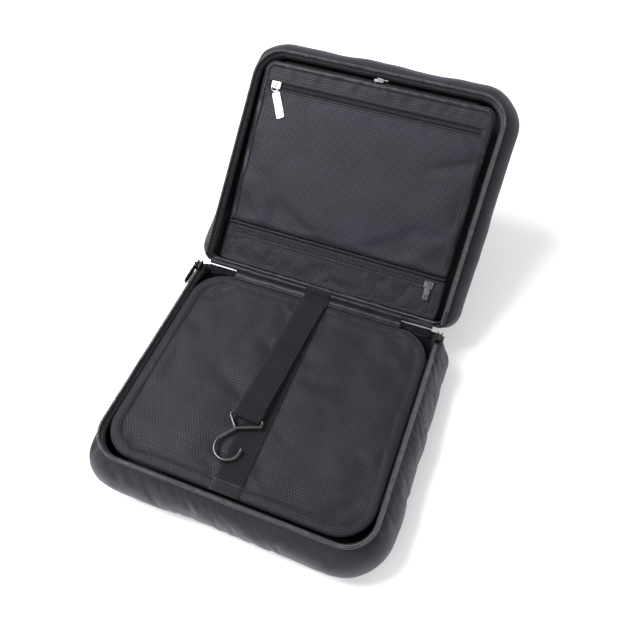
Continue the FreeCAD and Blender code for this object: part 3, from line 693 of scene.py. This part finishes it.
def build_lining(name, spec, place, seed):
    """Loose lining inside the foam, with small folds."""
    liner = lean(shell_grid(spec, LINING_INSET, 12))
    rows, count = liner.shape[:2]
    low = liner.reshape(-1, 3).copy()
    centre = np.array([0, DEPTH / 2, -spec["height"] / 2])
    toward = centre - low
    toward[:, 2] *= 0.4
    toward /= np.linalg.norm(toward, axis=1, keepdims=True)
    fold = np.abs(ripple(low * np.array([1, 1, 0.25]), 11.0, 1.5, seed + 7))
    fade = np.clip(np.arange(rows) / 2.0, 0.15, 1)[:, None] * np.ones((1, count))
    low = low + toward * (fold * fade.ravel())[:, None]
    thick = low + toward * 0.8
    both = np.concatenate([low.reshape(rows, count, 3), thick.reshape(rows, count, 3)[::-1]])
    faces = grid_faces(rows, count, True) + grid_faces(rows, count, True, rows * count)
    k = 2 * rows - 1
    faces += [(j, (j + 1) % count, k * count + (j + 1) % count, k * count + j) for j in range(count)]
    faces.append(tuple((rows - 1) * count + j for j in range(count)))
    faces.append(tuple(reversed([rows * count + j for j in range(count)])))
    lining = add_mesh(name + "_inner_lining", place(both.reshape(-1, 3)), faces, M_LINING,
                      np.tile(grid_plan(liner), (2, 1)))
    finish_piece(lining, name, [name + "_lining"])


# ---- Flat padded pieces -----------------------------------------------------------------------
class Sheet:
    """Plan of a flat piece with rounded corners: rows run across x, from near to far."""

    def __init__(self, half, near, far, far_r, near_r=0.0):
        self.half, self.near, self.far, self.far_r, self.near_r = half, near, far, far_r, near_r

    def width(self, v):
        v = np.asarray(v, float)
        out = np.full(v.shape, self.half)
        for r, dist in ((self.far_r, self.far - v), (self.near_r, v - self.near)):
            if r:
                d = np.clip(dist, 0, r)
                out = np.minimum(out, self.half - r + np.sqrt(np.maximum(0, r * r - (r - d) ** 2)))
        return out

    def rows(self, step, extra=()):
        v = list(spaced(self.near, self.far, step)) + list(extra)
        for r, end, sign in ((self.far_r, self.far, -1), (self.near_r, self.near, 1)):
            if r:
                v += [end + sign * r * (1 - math.cos(a)) for a in np.linspace(0, math.pi / 2, 9)]
        v = sorted(v)
        kept = [v[0]]
        for item in v[1:]:
            if item - kept[-1] > 0.15:
                kept.append(item)
        return np.array(kept)

    def grid(self, step, extra=(), extra_x=()):
        v = self.rows(step, extra)
        s = sorted(list(spaced(-1, 1, step / self.half)) + [x / self.half for x in extra_x])
        s = np.array([s[0]] + [b for a, b in zip(s, s[1:]) if b - a > 0.001])
        w = self.width(v)
        x = w[:, None] * s[None, :]
        return x, np.repeat(v[:, None], len(s), 1)

    def edge_distance(self, x, v):
        """How far inside the outline a point is."""
        d = np.minimum(self.half - np.abs(x), np.minimum(self.far - v, v - self.near))
        for r, dist in ((self.far_r, self.far - v), (self.near_r, v - self.near)):
            if r:
                cx, cd = np.abs(x) - (self.half - r), r - dist
                corner = (cx > 0) & (cd > 0)
                d = np.where(corner, r - np.hypot(np.maximum(cx, 0), np.maximum(cd, 0)), d)
        return np.maximum(d, 0)

    def outline(self, inset, step=3.0, closed=True):
        """(x, v) and inward direction round the outline, from the near left corner."""
        h, n, f = self.half, self.near, self.far
        fr, nr = self.far_r, max(self.near_r, 0.01)
        pts, ins = [], []

        def corner(cx, cv, r, a0, a1):
            for a in np.linspace(a0, a1, 4 if r < 1 else 18):
                pts.append((cx + (r - inset) * math.cos(a), cv + (r - inset) * math.sin(a)))
                ins.append((-math.cos(a), -math.sin(a)))

        def side(a, b, i):
            for t in np.linspace(0, 1, max(2, int(np.hypot(b[0] - a[0], b[1] - a[1]) / step)))[1:-1]:
                pts.append((a[0] + (b[0] - a[0]) * t, a[1] + (b[1] - a[1]) * t))
                ins.append(i)

        side((-h + inset, n + nr), (-h + inset, f - fr), (1, 0))
        corner(-h + fr, f - fr, fr, math.pi, math.pi / 2)
        side((-h + fr, f - inset), (h - fr, f - inset), (0, -1))
        corner(h - fr, f - fr, fr, math.pi / 2, 0)
        side((h - inset, f - fr), (h - inset, n + nr), (-1, 0))
        if closed:
            corner(h - nr, n + nr, nr, 0, -math.pi / 2)
            side((h - nr, n + inset), (-h + nr, n + inset), (0, 1))
            corner(-h + nr, n + nr, nr, -math.pi / 2, -math.pi)
        return np.array(pts), np.array(ins, float)


class Pad:
    """A puffed piece on a Sheet: heights of its top and bottom over the plan."""

    def __init__(self, sheet, top, bottom, step, hold, pressure, shrink, cap, edge=3.0):
        self.sheet = sheet
        x, v = sheet.grid(step)
        self.v, self.count = v[:, 0], x.shape[1]
        d = sheet.edge_distance(x, v)
        middle = (top + bottom) / 2
        puff = np.sqrt(np.clip(1 - (1 - np.minimum(d / edge, 1)) ** 2, 0, 1))
        half = (top - bottom) / 2 * (0.35 + 0.65 * puff)
        rows, cols = x.shape
        up = np.stack([x, v, middle + half], -1).reshape(-1, 3)
        down = np.stack([x, v, middle - half], -1).reshape(-1, 3)
        n = rows * cols
        pinned = np.tile(hold(x, v, d).ravel(), 2)
        out = settle(np.concatenate([up, down]), pad_faces(rows, cols), pinned, pressure, shrink, cap)
        self.top = out[:n, 2].reshape(rows, cols)
        self.bottom = out[n:, 2].reshape(rows, cols)
        self.extra_top = []

    def heights(self, field, x, v):
        """Bilinear reading of a height field at plan places."""
        i = np.clip(np.interp(v, self.v, np.arange(len(self.v))), 0, len(self.v) - 1.001)
        w = self.sheet.width(v)
        s = np.clip(x / np.maximum(w, 1e-6), -1, 1)
        j = np.clip((s + 1) / 2 * (self.count - 1), 0, self.count - 1.001)
        i0, j0 = i.astype(int), j.astype(int)
        a, b = i - i0, j - j0
        return (field[i0, j0] * (1 - a) * (1 - b) + field[i0 + 1, j0] * a * (1 - b)
                + field[i0, j0 + 1] * (1 - a) * b + field[i0 + 1, j0 + 1] * a * b)

    def z_top(self, x, v, without=None):
        x, v = np.broadcast_arrays(np.asarray(x, float), np.asarray(v, float))
        z = self.heights(self.top, x, v)
        for extra in self.extra_top:
            if extra is not without:
                z = z + extra(x, v)
        return z

    def z_bottom(self, x, v):
        x, v = np.broadcast_arrays(np.asarray(x, float), np.asarray(v, float))
        return self.heights(self.bottom, x, v)

    def build(self, name, place, step, material, extra=(), extra_x=()):
        x, v = self.sheet.grid(step, extra, extra_x)
        rows, cols = x.shape
        up = np.stack([x, v, self.z_top(x, v)], -1)
        down = np.stack([x, v, self.z_bottom(x, v)], -1)
        pts = np.concatenate([up.reshape(-1, 3), down.reshape(-1, 3)])
        return add_mesh(name, place(pts), pad_faces(rows, cols), material, pts[:, :2])


def edge_band(name, pad, place, lip, material, thick=0.45, closed=True):
    """Tape folded round a pad's edge, lip wide on each face."""
    sheet = pad.sheet
    rows = []
    profile = [(lip, 1, 0.05), (lip, 1, thick), (lip * 0.6, 1, thick), (lip * 0.25, 1, thick),
               (0.8, 1, thick), (-thick, 0.6, 0), (-thick - 0.1, 0, 0), (-thick, -0.6, 0),
               (0.8, -1, thick), (lip * 0.3, -1, thick), (lip, -1, thick), (lip, -1, 0.05)]
    for inset, side, proud in profile:
        pts, ins = sheet.outline(max(inset, 0.0), 3.0, closed)
        x, v = pts[:, 0], pts[:, 1]
        top, low = pad.z_top(x, v), pad.z_bottom(x, v)
        if abs(side) == 1:
            z = top + proud if side > 0 else low - proud
        else:
            z = (top + low) / 2 + side * (top - low) / 2
        if inset < 0:
            x, v = x + ins[:, 0] * inset, v + ins[:, 1] * inset
        rows.append(np.stack([x, v, z], -1))
    return grid_mesh(name, place, rows, grid_faces(len(rows), len(x), closed), material)


def stitch_line(frames, pts, pitch=3.2, long=2.3):
    """Adds stitch frames, flat side up, along a line of (n, 3) points."""
    along = np.concatenate([[0], np.cumsum(np.linalg.norm(np.diff(pts, axis=0), axis=1))])
    for s in np.arange(pitch / 2, along[-1], pitch):
        a = resample(along, pts, [s - long / 2])[0]
        b = resample(along, pts, [s + long / 2])[0]
        d = b - a
        if np.linalg.norm(d) < 0.1:
            continue
        d = d / np.linalg.norm(d)
        side = np.cross(UP, d)
        side /= max(np.linalg.norm(side), 1e-6)
        frames.append(((a + b) / 2, d, side, np.cross(d, side)))


def stitches(name, frames, place, body):
    """The stitches of one piece as one mesh of short rounded threads."""
    shape, faces = bead(0.55, 2.4, 0.5, 4, 6)
    shape = shape[:, [1, 0, 2]]
    finish_piece(scatter(name, (shape, faces), frames, M_THREAD, place), body)


def sew(frames, pad, a, b, lift, pitch):
    """A straight line of stitches on a pad's top, from a to b on the plan."""
    n = max(2, int(math.dist(a, b) / 2.0))
    run = np.linspace(a, b, n)
    stitch_line(frames, np.column_stack([run, pad.z_top(run[:, 0], run[:, 1]) + lift]), pitch)


def flat_strip(name, place, half, v0, v1, z_of, thick, material, step=4.0, cols=7, edge=0.25):
    """Webbing laid along v, with slightly rounded edges, following z_of(x, v)."""
    v = spaced(v0, v1, step)
    xs = np.linspace(-half, half, cols)
    rows = []
    for item in v:
        top = [(x, item, z_of(x, item) + thick - (edge if abs(x) > half - 0.01 else 0)) for x in xs]
        low = [(x, item, z_of(x, item) + 0.02) for x in xs[::-1]]
        rows.append(top + low)
    grid = np.array(rows, float)
    plan = grid_plan(np.concatenate([grid, grid[:, :1]], 1)).reshape(len(v), -1, 2)[:, :-1]
    faces = strip_faces(len(v), grid.shape[1])
    return add_mesh(name, place(grid.reshape(-1, 3)), faces, material, plan.reshape(-1, 2))


# ---- Build ------------------------------------------------------------------------------------
for side, spec, place, panel, seed in (("base", BASE, in_base, "bottom", 1.3),
                                       ("lid", LID, in_lid, "outer", 5.1)):
    build_shell(side, spec, place, [side + end for end in
                                    (f"_{panel}_panel", "_spine_panel", "_gusset", "_foam")], seed)
    build_lining(side, spec, place, seed)
for side, place in (("base", in_base), ("lid", in_lid)):
    rim_tape(side + "_tape", place, side, side + "_zip_tape")
    rim_teeth(side + "_teeth", place, side, side + "_zip_teeth")


def flap():
    """Padded flap over the base's room, with its edge tape, webbing and stitches."""
    sheet = Sheet(FLAP_HALF - 0.6, FLAP_NEAR + 0.6, FLAP_FAR - 0.6, FLAP_R, FLAP_R)

    def hold(x, v, d):
        w = np.clip((7.0 - d) / 5.0, 0, 1)
        return np.maximum(w, np.where(np.abs(x) < 13, 0.5, 0))

    pad = Pad(sheet, FLAP_TOP - 0.1, FLAP_TOP - 3.9, 4.2, hold, 1.4, -0.03, 1.9)

    def dents(x, v):
        inside = np.clip((sheet.edge_distance(x, v) - 9) / 12, 0, 1)
        inside = inside * np.where(np.abs(x) < 14, 0.0, np.clip((np.abs(x) - 14) / 10, 0, 1))
        z = ripple_on(x, v, (40.0, 2.6, 2.2), (19.0, 0.6, 4.6))
        z = z + creases(x, v, ((-20, 128), (-80, 96), 2.0, 8), ((-34, 40), (-58, 92), 1.6, 7),
                        ((-108, 84), (-84, 140), 1.5, 8), ((20, 96), (74, 84), 1.9, 9),
                        ((110, 120), (58, 168), 1.6, 9), ((70, 30), (40, 70), 1.3, 7))
        hem = sheet.edge_distance(x, v)
        seam = -0.45 * np.exp(-((hem - 10.2) / 1.4) ** 2) * np.clip((np.abs(x) - 13) / 2, 0, 1)
        return (z - 0.7) * inside + seam

    pad.extra_top.append(dents)
    piece = pad.build("flap_pad", in_base, 3.0, M_DOBBY)
    subdivide(piece)
    finish_piece(piece, "flap", ["flap_top_cover", "flap_foam", "flap_back_cover"])
    band = edge_band("flap_edge_tape", pad, in_base, 10.0, M_HEM, thick=0.3)
    finish_piece(band, "flap", ["flap_binding"])
    frames = []
    for inset in (8.6, 11.4):
        pts, _ = sheet.outline(inset, 3.0)
        line = np.column_stack([pts, pad.z_top(pts[:, 0], pts[:, 1]) + (0.4 if inset < 10 else 0.15)])
        stitch_line(frames, np.concatenate([line, line[:1]]))
    web = flat_strip("flap_web_strip", in_base, WEB_HALF, STRAP_ROOT, FLAP_FAR - 10,
                     lambda x, v: float(pad.z_top(x, v)), WEB_T, M_WEB)
    finish_piece(web, "flap", ["flap_webbing"])
    for x in (-10.8, 10.8):
        sew(frames, pad, (x, 14), (x, FLAP_FAR - 11), WEB_T + 0.15, 3.4)
    for v in (FLAP_FAR - 12, FLAP_FAR - 16):
        sew(frames, pad, (-11, v), (11, v), WEB_T + 0.15, 3.0)
    # overlap of the edge tape's two ends, at the front of the webbing
    joint = flat_strip("flap_tape_joint", in_base, 13.2, FLAP_FAR - 11, FLAP_FAR - 0.2,
                       lambda x, v: float(pad.z_top(x, min(v, FLAP_FAR - 1.5))) + 0.45, 0.5, M_BIND, 2.5)
    finish_piece(joint, "flap")
    stitches("flap_stitching", frames, in_base, "flap")


flap()


def page_groove(pad, at, half_length, floor):
    """Long opening over a pocket zip, pressed into a panel's top."""
    def cut(x, v):
        across = np.clip((4.0 - np.abs(v - at)) / 0.5, 0, 1)
        ends = np.clip((half_length - np.abs(x)) / 0.6, 0, 1)
        z = pad.z_top(x, v, without=cut)
        return (floor - z) * across * ends

    pad.extra_top.append(cut)


def pocket_zip(name, place, body, pad, at, half_length, level, nodes):
    """Closed coil chain with its tape and two folded lips along a panel's opening."""
    tape = flat_strip(name + "_tape", lambda p: place(p[..., [1, 0, 2]] + [0, at, 0]),
                      3.9, -half_length, half_length, lambda x, v: level - 0.55, 0.5, M_TAPE, 6.0)
    finish_piece(tape, body, [nodes[0]])
    frames = []
    for k, x in enumerate(np.arange(-half_length + 0.8, half_length - 0.5, POCKET_PITCH)):
        y = at + (0.55 if k % 2 else -0.55)
        frames.append((np.array([x, y, level + 0.55]), np.array([1.0, 0, 0]),
                       np.array([0, 1.0, 0]), UP))
    teeth = scatter(name + "_teeth", bead(0.7, 1.9, 1.1), frames, M_COIL, place)
    finish_piece(teeth, body, [nodes[1]])
    for side in (-1, 1):
        rows = []
        for a in np.linspace(0, 2 * math.pi, 9)[:-1]:
            xs = spaced(-half_length, half_length, 4.0)
            v = np.full(len(xs), at + side * (4.1 + 0.75 * math.cos(a)))
            z = pad.z_top(xs, np.full(len(xs), at + side * 5.2)) + 0.1 + 0.5 * math.sin(a)
            rows.append(np.stack([xs, v, z], -1))
        lip = grid_mesh(f"{name}_lip_{'far' if side > 0 else 'near'}", place, rows,
                        bar_faces(len(rows), len(xs), False), M_BIND)
        finish_piece(lip, body)
    frames = []
    for off in (-6.6, 6.6):
        sew(frames, pad, (-half_length, at + off), (half_length, at + off), 0.15, 3.0)
    for x in (-half_length - 1.6, half_length + 1.6):
        sew(frames, pad, (x, at - 6.6), (x, at + 6.6), 0.15, 2.6)
    stitches(name + "_stitching", frames, place, body)


def page():
    """Padded zipped page over the lid's sleeve."""
    sheet = Sheet(PAGE_HALF - 0.6, 2.6, PAGE_LONG - 0.6, 10.0, 0.0)

    def hold(x, v, d):
        return np.maximum(np.clip((5.0 - d) / 4.0, 0, 1), np.where(np.abs(v - ZIP_V) < 6, 1, 0))

    pad = Pad(sheet, 2.45, -2.45, 4.2, hold, 1.2, -0.03, 1.8)

    def dents(x, v):
        inside = np.clip((sheet.edge_distance(x, v) - 4) / 12, 0, 1)
        inside = inside * np.clip((np.abs(v - ZIP_V) - 7) / 6, 0, 1)
        z = ripple_on(x, v, (52.0, 1.8, 8.2))
        z = z + creases(x, v, ((119, 117), (62, 92), 3.2, 3.4), ((119, 124), (70, 118), -1.0, 6),
                        ((110, 40), (30, 30), 1.2, 7), ((-112, 60), (-60, 40), 1.0, 7))
        slack_edge = np.where((x > 95) & (np.abs(v - 117) < 16) & (np.abs(v - ZIP_V) > 7), 0.75, 0)
        return (z - 0.3) * np.maximum(inside, slack_edge)

    pad.extra_top.append(dents)
    page_groove(pad, ZIP_V, ZIP_HALF, 0.45)
    edges = (135.9, 136.5, 143.5, 144.1)
    piece = pad.build("page_pad", in_page, 3.0, M_PAGE_DOBBY_PAINTED_LIGHT, edges)
    finish_piece(piece, "page", ["page_front_panel", "page_back_panel"])
    band = edge_band("page_edge_tape", pad, in_page, 5.0, M_SATIN, closed=False)
    finish_piece(band, "page", ["page_binding"])
    pocket_zip("front_zip", in_page, "page", pad, ZIP_V, ZIP_HALF, 1.05,
               ["front_zip_tape", "front_zip_teeth"])
    frames = []
    pts, _ = sheet.outline(4.2, 3.0, False)
    line = np.column_stack([pts, pad.z_top(pts[:, 0], pts[:, 1]) + 0.6])
    stitch_line(frames, line, 3.0)
    sew(frames, pad, (-105, 152), (105, 152), 0.2, 3.0)
    stitches("page_stitching", frames, in_page, "page")


page()

def top_zip():
    """The page's other zip: its chain stands on the page's top edge."""
    frames = []
    for k, x in enumerate(np.arange(-95.4, 95.4, POCKET_PITCH)):
        frames.append((np.array([x, PAGE_LONG + 0.65, 0.55 if k % 2 else -0.55]), np.array([1.0, 0, 0]),
                       UP, np.array([0, 1.0, 0])))
    chain = scatter("top_zip_chain", bead(0.7, 1.9, 1.1), frames, M_COIL, in_page)
    finish_piece(chain, "page", ["top_zip_teeth", "top_zip_tape"])


top_zip()


def lower_panel():
    """Low pocket front between the page and the hinge."""
    sheet = Sheet(115.6, 5.2, 43.0, 3.0, 3.0)

    def hold(x, v, d):
        return np.maximum(np.clip((4.0 - d) / 3.0, 0, 1), np.where(np.abs(v - LOWER_ZIP_V) < 5, 1, 0))

    pad = Pad(sheet, -17.0, -18.2, 3.0, hold, 0.5, -0.03, 1.5, 1.0)

    def dents(x, v):
        inside = np.clip(sheet.edge_distance(x, v) / 8, 0, 1) * np.clip((32 - v) / 6, 0, 1)
        z = ripple_on(x, v, (24.0, 1.6, 1.2))
        z = z + creases(x, v, ((20, 8), (-30, 26), 1.4, 4), ((100, 8), (60, 24), 1.6, 4))
        return (z - 0.9) * inside

    pad.extra_top.append(dents)
    page_groove(pad, LOWER_ZIP_V, LOWER_ZIP_HALF, -18.6)
    piece = pad.build("lower_pocket_front", in_lid, 2.5, M_DOBBY, (33.0, 33.5, 40.5, 41.0))
    finish_piece(piece, "lid", ["lower_pocket_panel"])
    pocket_zip("lower_zip", in_lid, "lid", pad, LOWER_ZIP_V, LOWER_ZIP_HALF, -18.25,
               ["lower_zip_tape", "lower_zip_teeth"])


lower_panel()


# ---- Hinge ------------------------------------------------------------------------------------
def seam_dips(xs, seams, half, depth):
    """Small steps down where a seam crosses the cloth."""
    return np.array([-depth if min(abs(x - c) for c in seams) <= half else 0.0 for x in xs])


def hinge():
    """The rolled hinge strip, a facing down each wall and the sleeve over the roll."""
    xs = spaced(-115.8, 115.8, 2.0)
    rows = []
    for a in np.linspace(0, 2 * math.pi, 15)[:-1]:
        pinch = seam_dips(xs, (-80, -62, -20, 14, 60), 1.2, 0.35)
        sag = np.array([noise.noise(Vector((x / 14, a, 3.0))) for x in xs]) * 0.3
        r = 2.35 + pinch + sag
        rows.append(np.stack([xs, np.cos(a) * r, np.sin(a) * r], -1))
    roll = grid_mesh("hinge_roll", in_base, rows, bar_faces(len(rows), len(xs)), M_SATIN)
    finish_piece(roll, "base", ["hinge_strip"])
    # a satin facing down each wall, from just under the roll
    for name, place, body, seed in (("hinge_facing_base", in_base, "base", 1.0),
                                    ("hinge_facing_lid", in_lid, "lid", 2.0)):
        prof = [(3.7, -1.3), (3.9, -3.0), (4.1, -5.5), (4.3, -9.0), (4.5, -14.0)]
        back = [(v - 0.7, z) for v, z in reversed(prof)]
        rows = []
        for v, z in prof + back:
            wob = np.array([noise.noise(Vector((x / 17, z / 6, seed))) for x in xs]) * 0.5
            rows.append(np.stack([xs, v + wob, np.full(len(xs), z)], -1))
        rows.append(rows[0])
        piece = grid_mesh(name, place, rows, grid_faces(len(rows), len(xs)), M_SATIN)
        finish_piece(piece, body)
    rows = []
    xs = spaced(62.0, 80.0, 1.5)
    for a in np.linspace(-0.35, math.pi * 0.5, 10):
        v, z = (np.full(len(xs), 2.85 * f(a)) for f in (math.cos, math.sin))
        rows.append(np.stack([xs, v, z], -1))
    outer = np.array(rows)
    inner = outer * [1, 0.86, 0.86]
    grid = np.concatenate([outer, inner[::-1], outer[:1]])
    patch = grid_mesh("hinge_sleeve", in_base, grid, grid_faces(len(grid), len(xs)), M_LINING)
    finish_piece(patch, "base", ["hinge_patch"])


hinge()


def hinge_cover(name, half, lift, material, wobble, end_v=9.5, thick=0.5, centre=0.0):
    """Cloth from the hinge roll down to the flap's near edge, in one fixed shape curving down between
    base and flap.
    """
    xs = spaced(centre - half, centre + half, 2.0)
    prof = [(-1.6, 1.9), (-0.4, 2.5), (0.9, 2.4), (2.0, 1.5), (2.6, 0.0), (3.1, -1.4), (4.6, -2.9),
            (6.4, -3.7), (8.0, -3.9), (end_v, -3.95)]
    rows = []
    for side in (1, -1):
        part = []
        for v, z in prof:
            wob = np.array([noise.noise(Vector((x / 15, v / 5, 2.0))) for x in xs]) * wobble
            seams = seam_dips(xs, (-96, -44, 34, 62, 80, 104), 1.1, 0.4 if wobble else 0.0)
            fade = 1.0 if 0 < v < 7 else 0.3
            out = lift + (thick if side > 0 else 0.0) + (wob + seams) * fade
            part.append(np.stack([xs, v + out * (0.5 if v > 1 else 0.0), z + out], -1))
        rows += part if side > 0 else part[::-1]
    rows.append(rows[0])
    piece = grid_mesh(name, in_base, rows, grid_faces(len(rows), len(xs)), material)
    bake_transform(piece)


hinge_cover("hinge_cover_cloth", 86, 0.15, M_SATIN, 0.5)
hinge_cover("strap_root_tab", WEB_HALF, 0.75, M_WEB, 0.0, 13.5, 1.1, 1.0)
for name, node, body, place, half, cv, cz, r in (
        ("flap_seam_roll", "flap_hinge_seam", "base", in_base, 87.5, 6.0, -6.5, 1.55),
        ("page_seam_roll", "page_hinge_seam", "lid", in_lid, 114.5, PAGE_PIVOT, -PAGE_DEPTH, 1.45)):
    xs = spaced(-half, half, 2.5)
    rows = []
    for a in np.linspace(0, 2 * math.pi, 11)[:-1]:
        rr = r + np.array([noise.noise(Vector((x / 9, a, 1.0))) for x in xs]) * 0.12
        rows.append(np.stack([xs, cv + rr * math.cos(a), cz + rr * math.sin(a)], -1))
    seam = grid_mesh(name, place, rows, bar_faces(len(rows), len(xs)), M_LINING)
    finish_piece(seam, body, [node])


# ---- Hanging strap ----------------------------------------------------------------------------
def strap():
    """Ribbed webbing that arches a little off the flap, folded round the hook bar and sewn."""
    path = [(y, 0.9 * math.sin(math.pi * min(y, 96) / 96) ** 2) for y in spaced(0, 128, 3.0)]
    line = [(y, z + WEB_T / 2) for y, z in path]
    line.append((STRAP_LONG, WEB_T / 2))
    r = (LOOP_IN + LOOP_OUT) / 2
    for a in np.linspace(math.pi / 2, -math.pi / 2, 9)[1:]:
        line.append((STRAP_LONG + r * math.cos(a), BAR_LEVEL + r * math.sin(a)))
    pinch = STRAP_LONG - 3 * LOOP_OUT
    line += [(STRAP_LONG - 4, BAR_LEVEL - r + 1.0), (pinch, -WEB_T / 2 - 0.1)]
    line += [(y, -WEB_T / 2 - 0.05) for y in (pinch - 4, pinch - 9, STRAP_LONG - 28)]
    line = np.array(line)
    d = np.gradient(line, axis=0)
    d /= np.linalg.norm(d, axis=1, keepdims=True)
    normal = np.stack([-d[:, 1], d[:, 0]], -1)
    xs = np.linspace(-WEB_HALF, WEB_HALF, 9)
    rows = []
    t = WEB_T / 2 - 0.02
    eased = np.where(np.abs(xs) > WEB_HALF - 0.1, 0.3, 0)
    fold = (np.arange(len(line)) < len(path)) & (np.abs(line[:, 0] - STRAP_LONG + 14) < 6)
    for p, nrm, extra in zip(line, normal, fold * 0.9):
        top = [(x, *(p + nrm * (t + extra - e))) for x, e in zip(xs, eased)]
        low = [(x, *(p - nrm * (t - e))) for x, e in zip(xs[::-1], eased[::-1])]
        rows.append(top + low)
    grid = np.array(rows)
    n = grid.shape[1]
    along = np.concatenate([[0], np.cumsum(np.linalg.norm(np.diff(line, axis=0), axis=1))])
    plan = np.stack([np.tile(np.concatenate([xs, xs[::-1]]), len(line)), np.repeat(along, n)], -1)
    piece = add_mesh("strap_band", in_strap(grid.reshape(-1, 3)), strip_faces(len(line), n), M_WEB, plan)
    finish_piece(piece, "strap", ["hanging_strap"])
    frames = []
    for y in (STRAP_LONG - 17, STRAP_LONG - 13, 4.0, 8.0):
        level = WEB_T + (1.0 if y > STRAP_LONG / 2 else 0.12)
        pts = np.array([(x, y, level) for x in np.linspace(-11, 11, 12)])
        stitch_line(frames, pts, 2.4)
    stitches("strap_stitching", frames, in_strap, "strap")


strap()

# ---- Metal keeps its CAD shape ----------------------------------------------------------------
METAL = {M_WIRE: ["hook"],
         M_BRIGHT: ["front_zip_slider", "front_zip_ring", "front_zip_pull"],
         M_DARK: ["top_zip_slider", "top_zip_pull", "lower_zip_slider", "lower_zip_pull"],
         M_GUN: ["main_zip_slider_left", "main_zip_slider_right", "main_zip_pull_left",
                 "main_zip_pull_right"]}
for material, nodes in METAL.items():
    for node in nodes:
        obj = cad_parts[node]
        obj.data.materials.clear()
        obj.data.materials.append(material)


# ---- Floor, light and camera ------------------------------------------------------------------
def floor():
    """Wide pale floor."""
    mesh = bpy.data.meshes.new("floor")
    mesh.from_pydata([(-6, -6, 0), (6, -6, 0), (6, 6, 0), (-6, 6, 0)], [], [(0, 1, 2, 3)])
    obj = bpy.data.objects.new("floor", mesh)
    bpy.context.scene.collection.objects.link(obj)
    mat, tree, shader = new_material("floor")
    n = Nodes(tree)
    n.link(n.mix(n.ramp(n.noise(3, 2), 0.3, 0.7), (0.86, 0.86, 0.865), (0.88, 0.88, 0.885)),
           shader.inputs["Base Color"])
    shader.inputs["Roughness"].default_value = 0.9
    mesh.materials.append(mat)


floor()


def light(name, energy, place, aim, size, color=(1, 1, 1)):
    """A round soft light that looks at a point."""
    data = bpy.data.lights.new(name, "AREA")
    data.energy = energy
    data.color = color
    data.shape = "DISK"
    data.size = size
    obj = bpy.data.objects.new(name, data)
    bpy.context.scene.collection.objects.link(obj)
    obj.location = place
    obj.rotation_mode = "QUATERNION"
    obj.rotation_quaternion = (Vector(aim) - Vector(place)).to_track_quat("-Z", "Y")


light("key", 38, (-0.75, -0.1, 1.25), (0, 0, 0), 0.8)
light("fill", 12, (1.2, -0.9, 0.8), (0, 0.05, 0), 1.0, (0.97, 0.98, 1.0))
world = bpy.data.worlds.new("studio")
bpy.context.scene.world = world
world.use_nodes = True
world.node_tree.nodes["Background"].inputs[0].default_value = (1, 1, 1, 1)
world.node_tree.nodes["Background"].inputs[1].default_value = 0.85

bpy.context.scene.view_settings.view_transform = "Standard"
camera = bpy.data.cameras.new("camera")
camera.lens, camera.sensor_width = 33.6449, 36.0
cam = bpy.data.objects.new("camera", camera)
bpy.context.scene.collection.objects.link(cam)
right, up, back = (0.93524, 0.35400, -0.00375), (-0.29106, 0.77490, 0.56109), (0.20153, -0.52366, 0.82775)
turn = Matrix((right, up, back)).transposed().to_4x4()
cam.matrix_world = Matrix.Translation((0.1296, -0.2193, 0.5257)) @ turn
camera.clip_start, camera.clip_end = 0.01, 50
bpy.context.scene.camera = cam
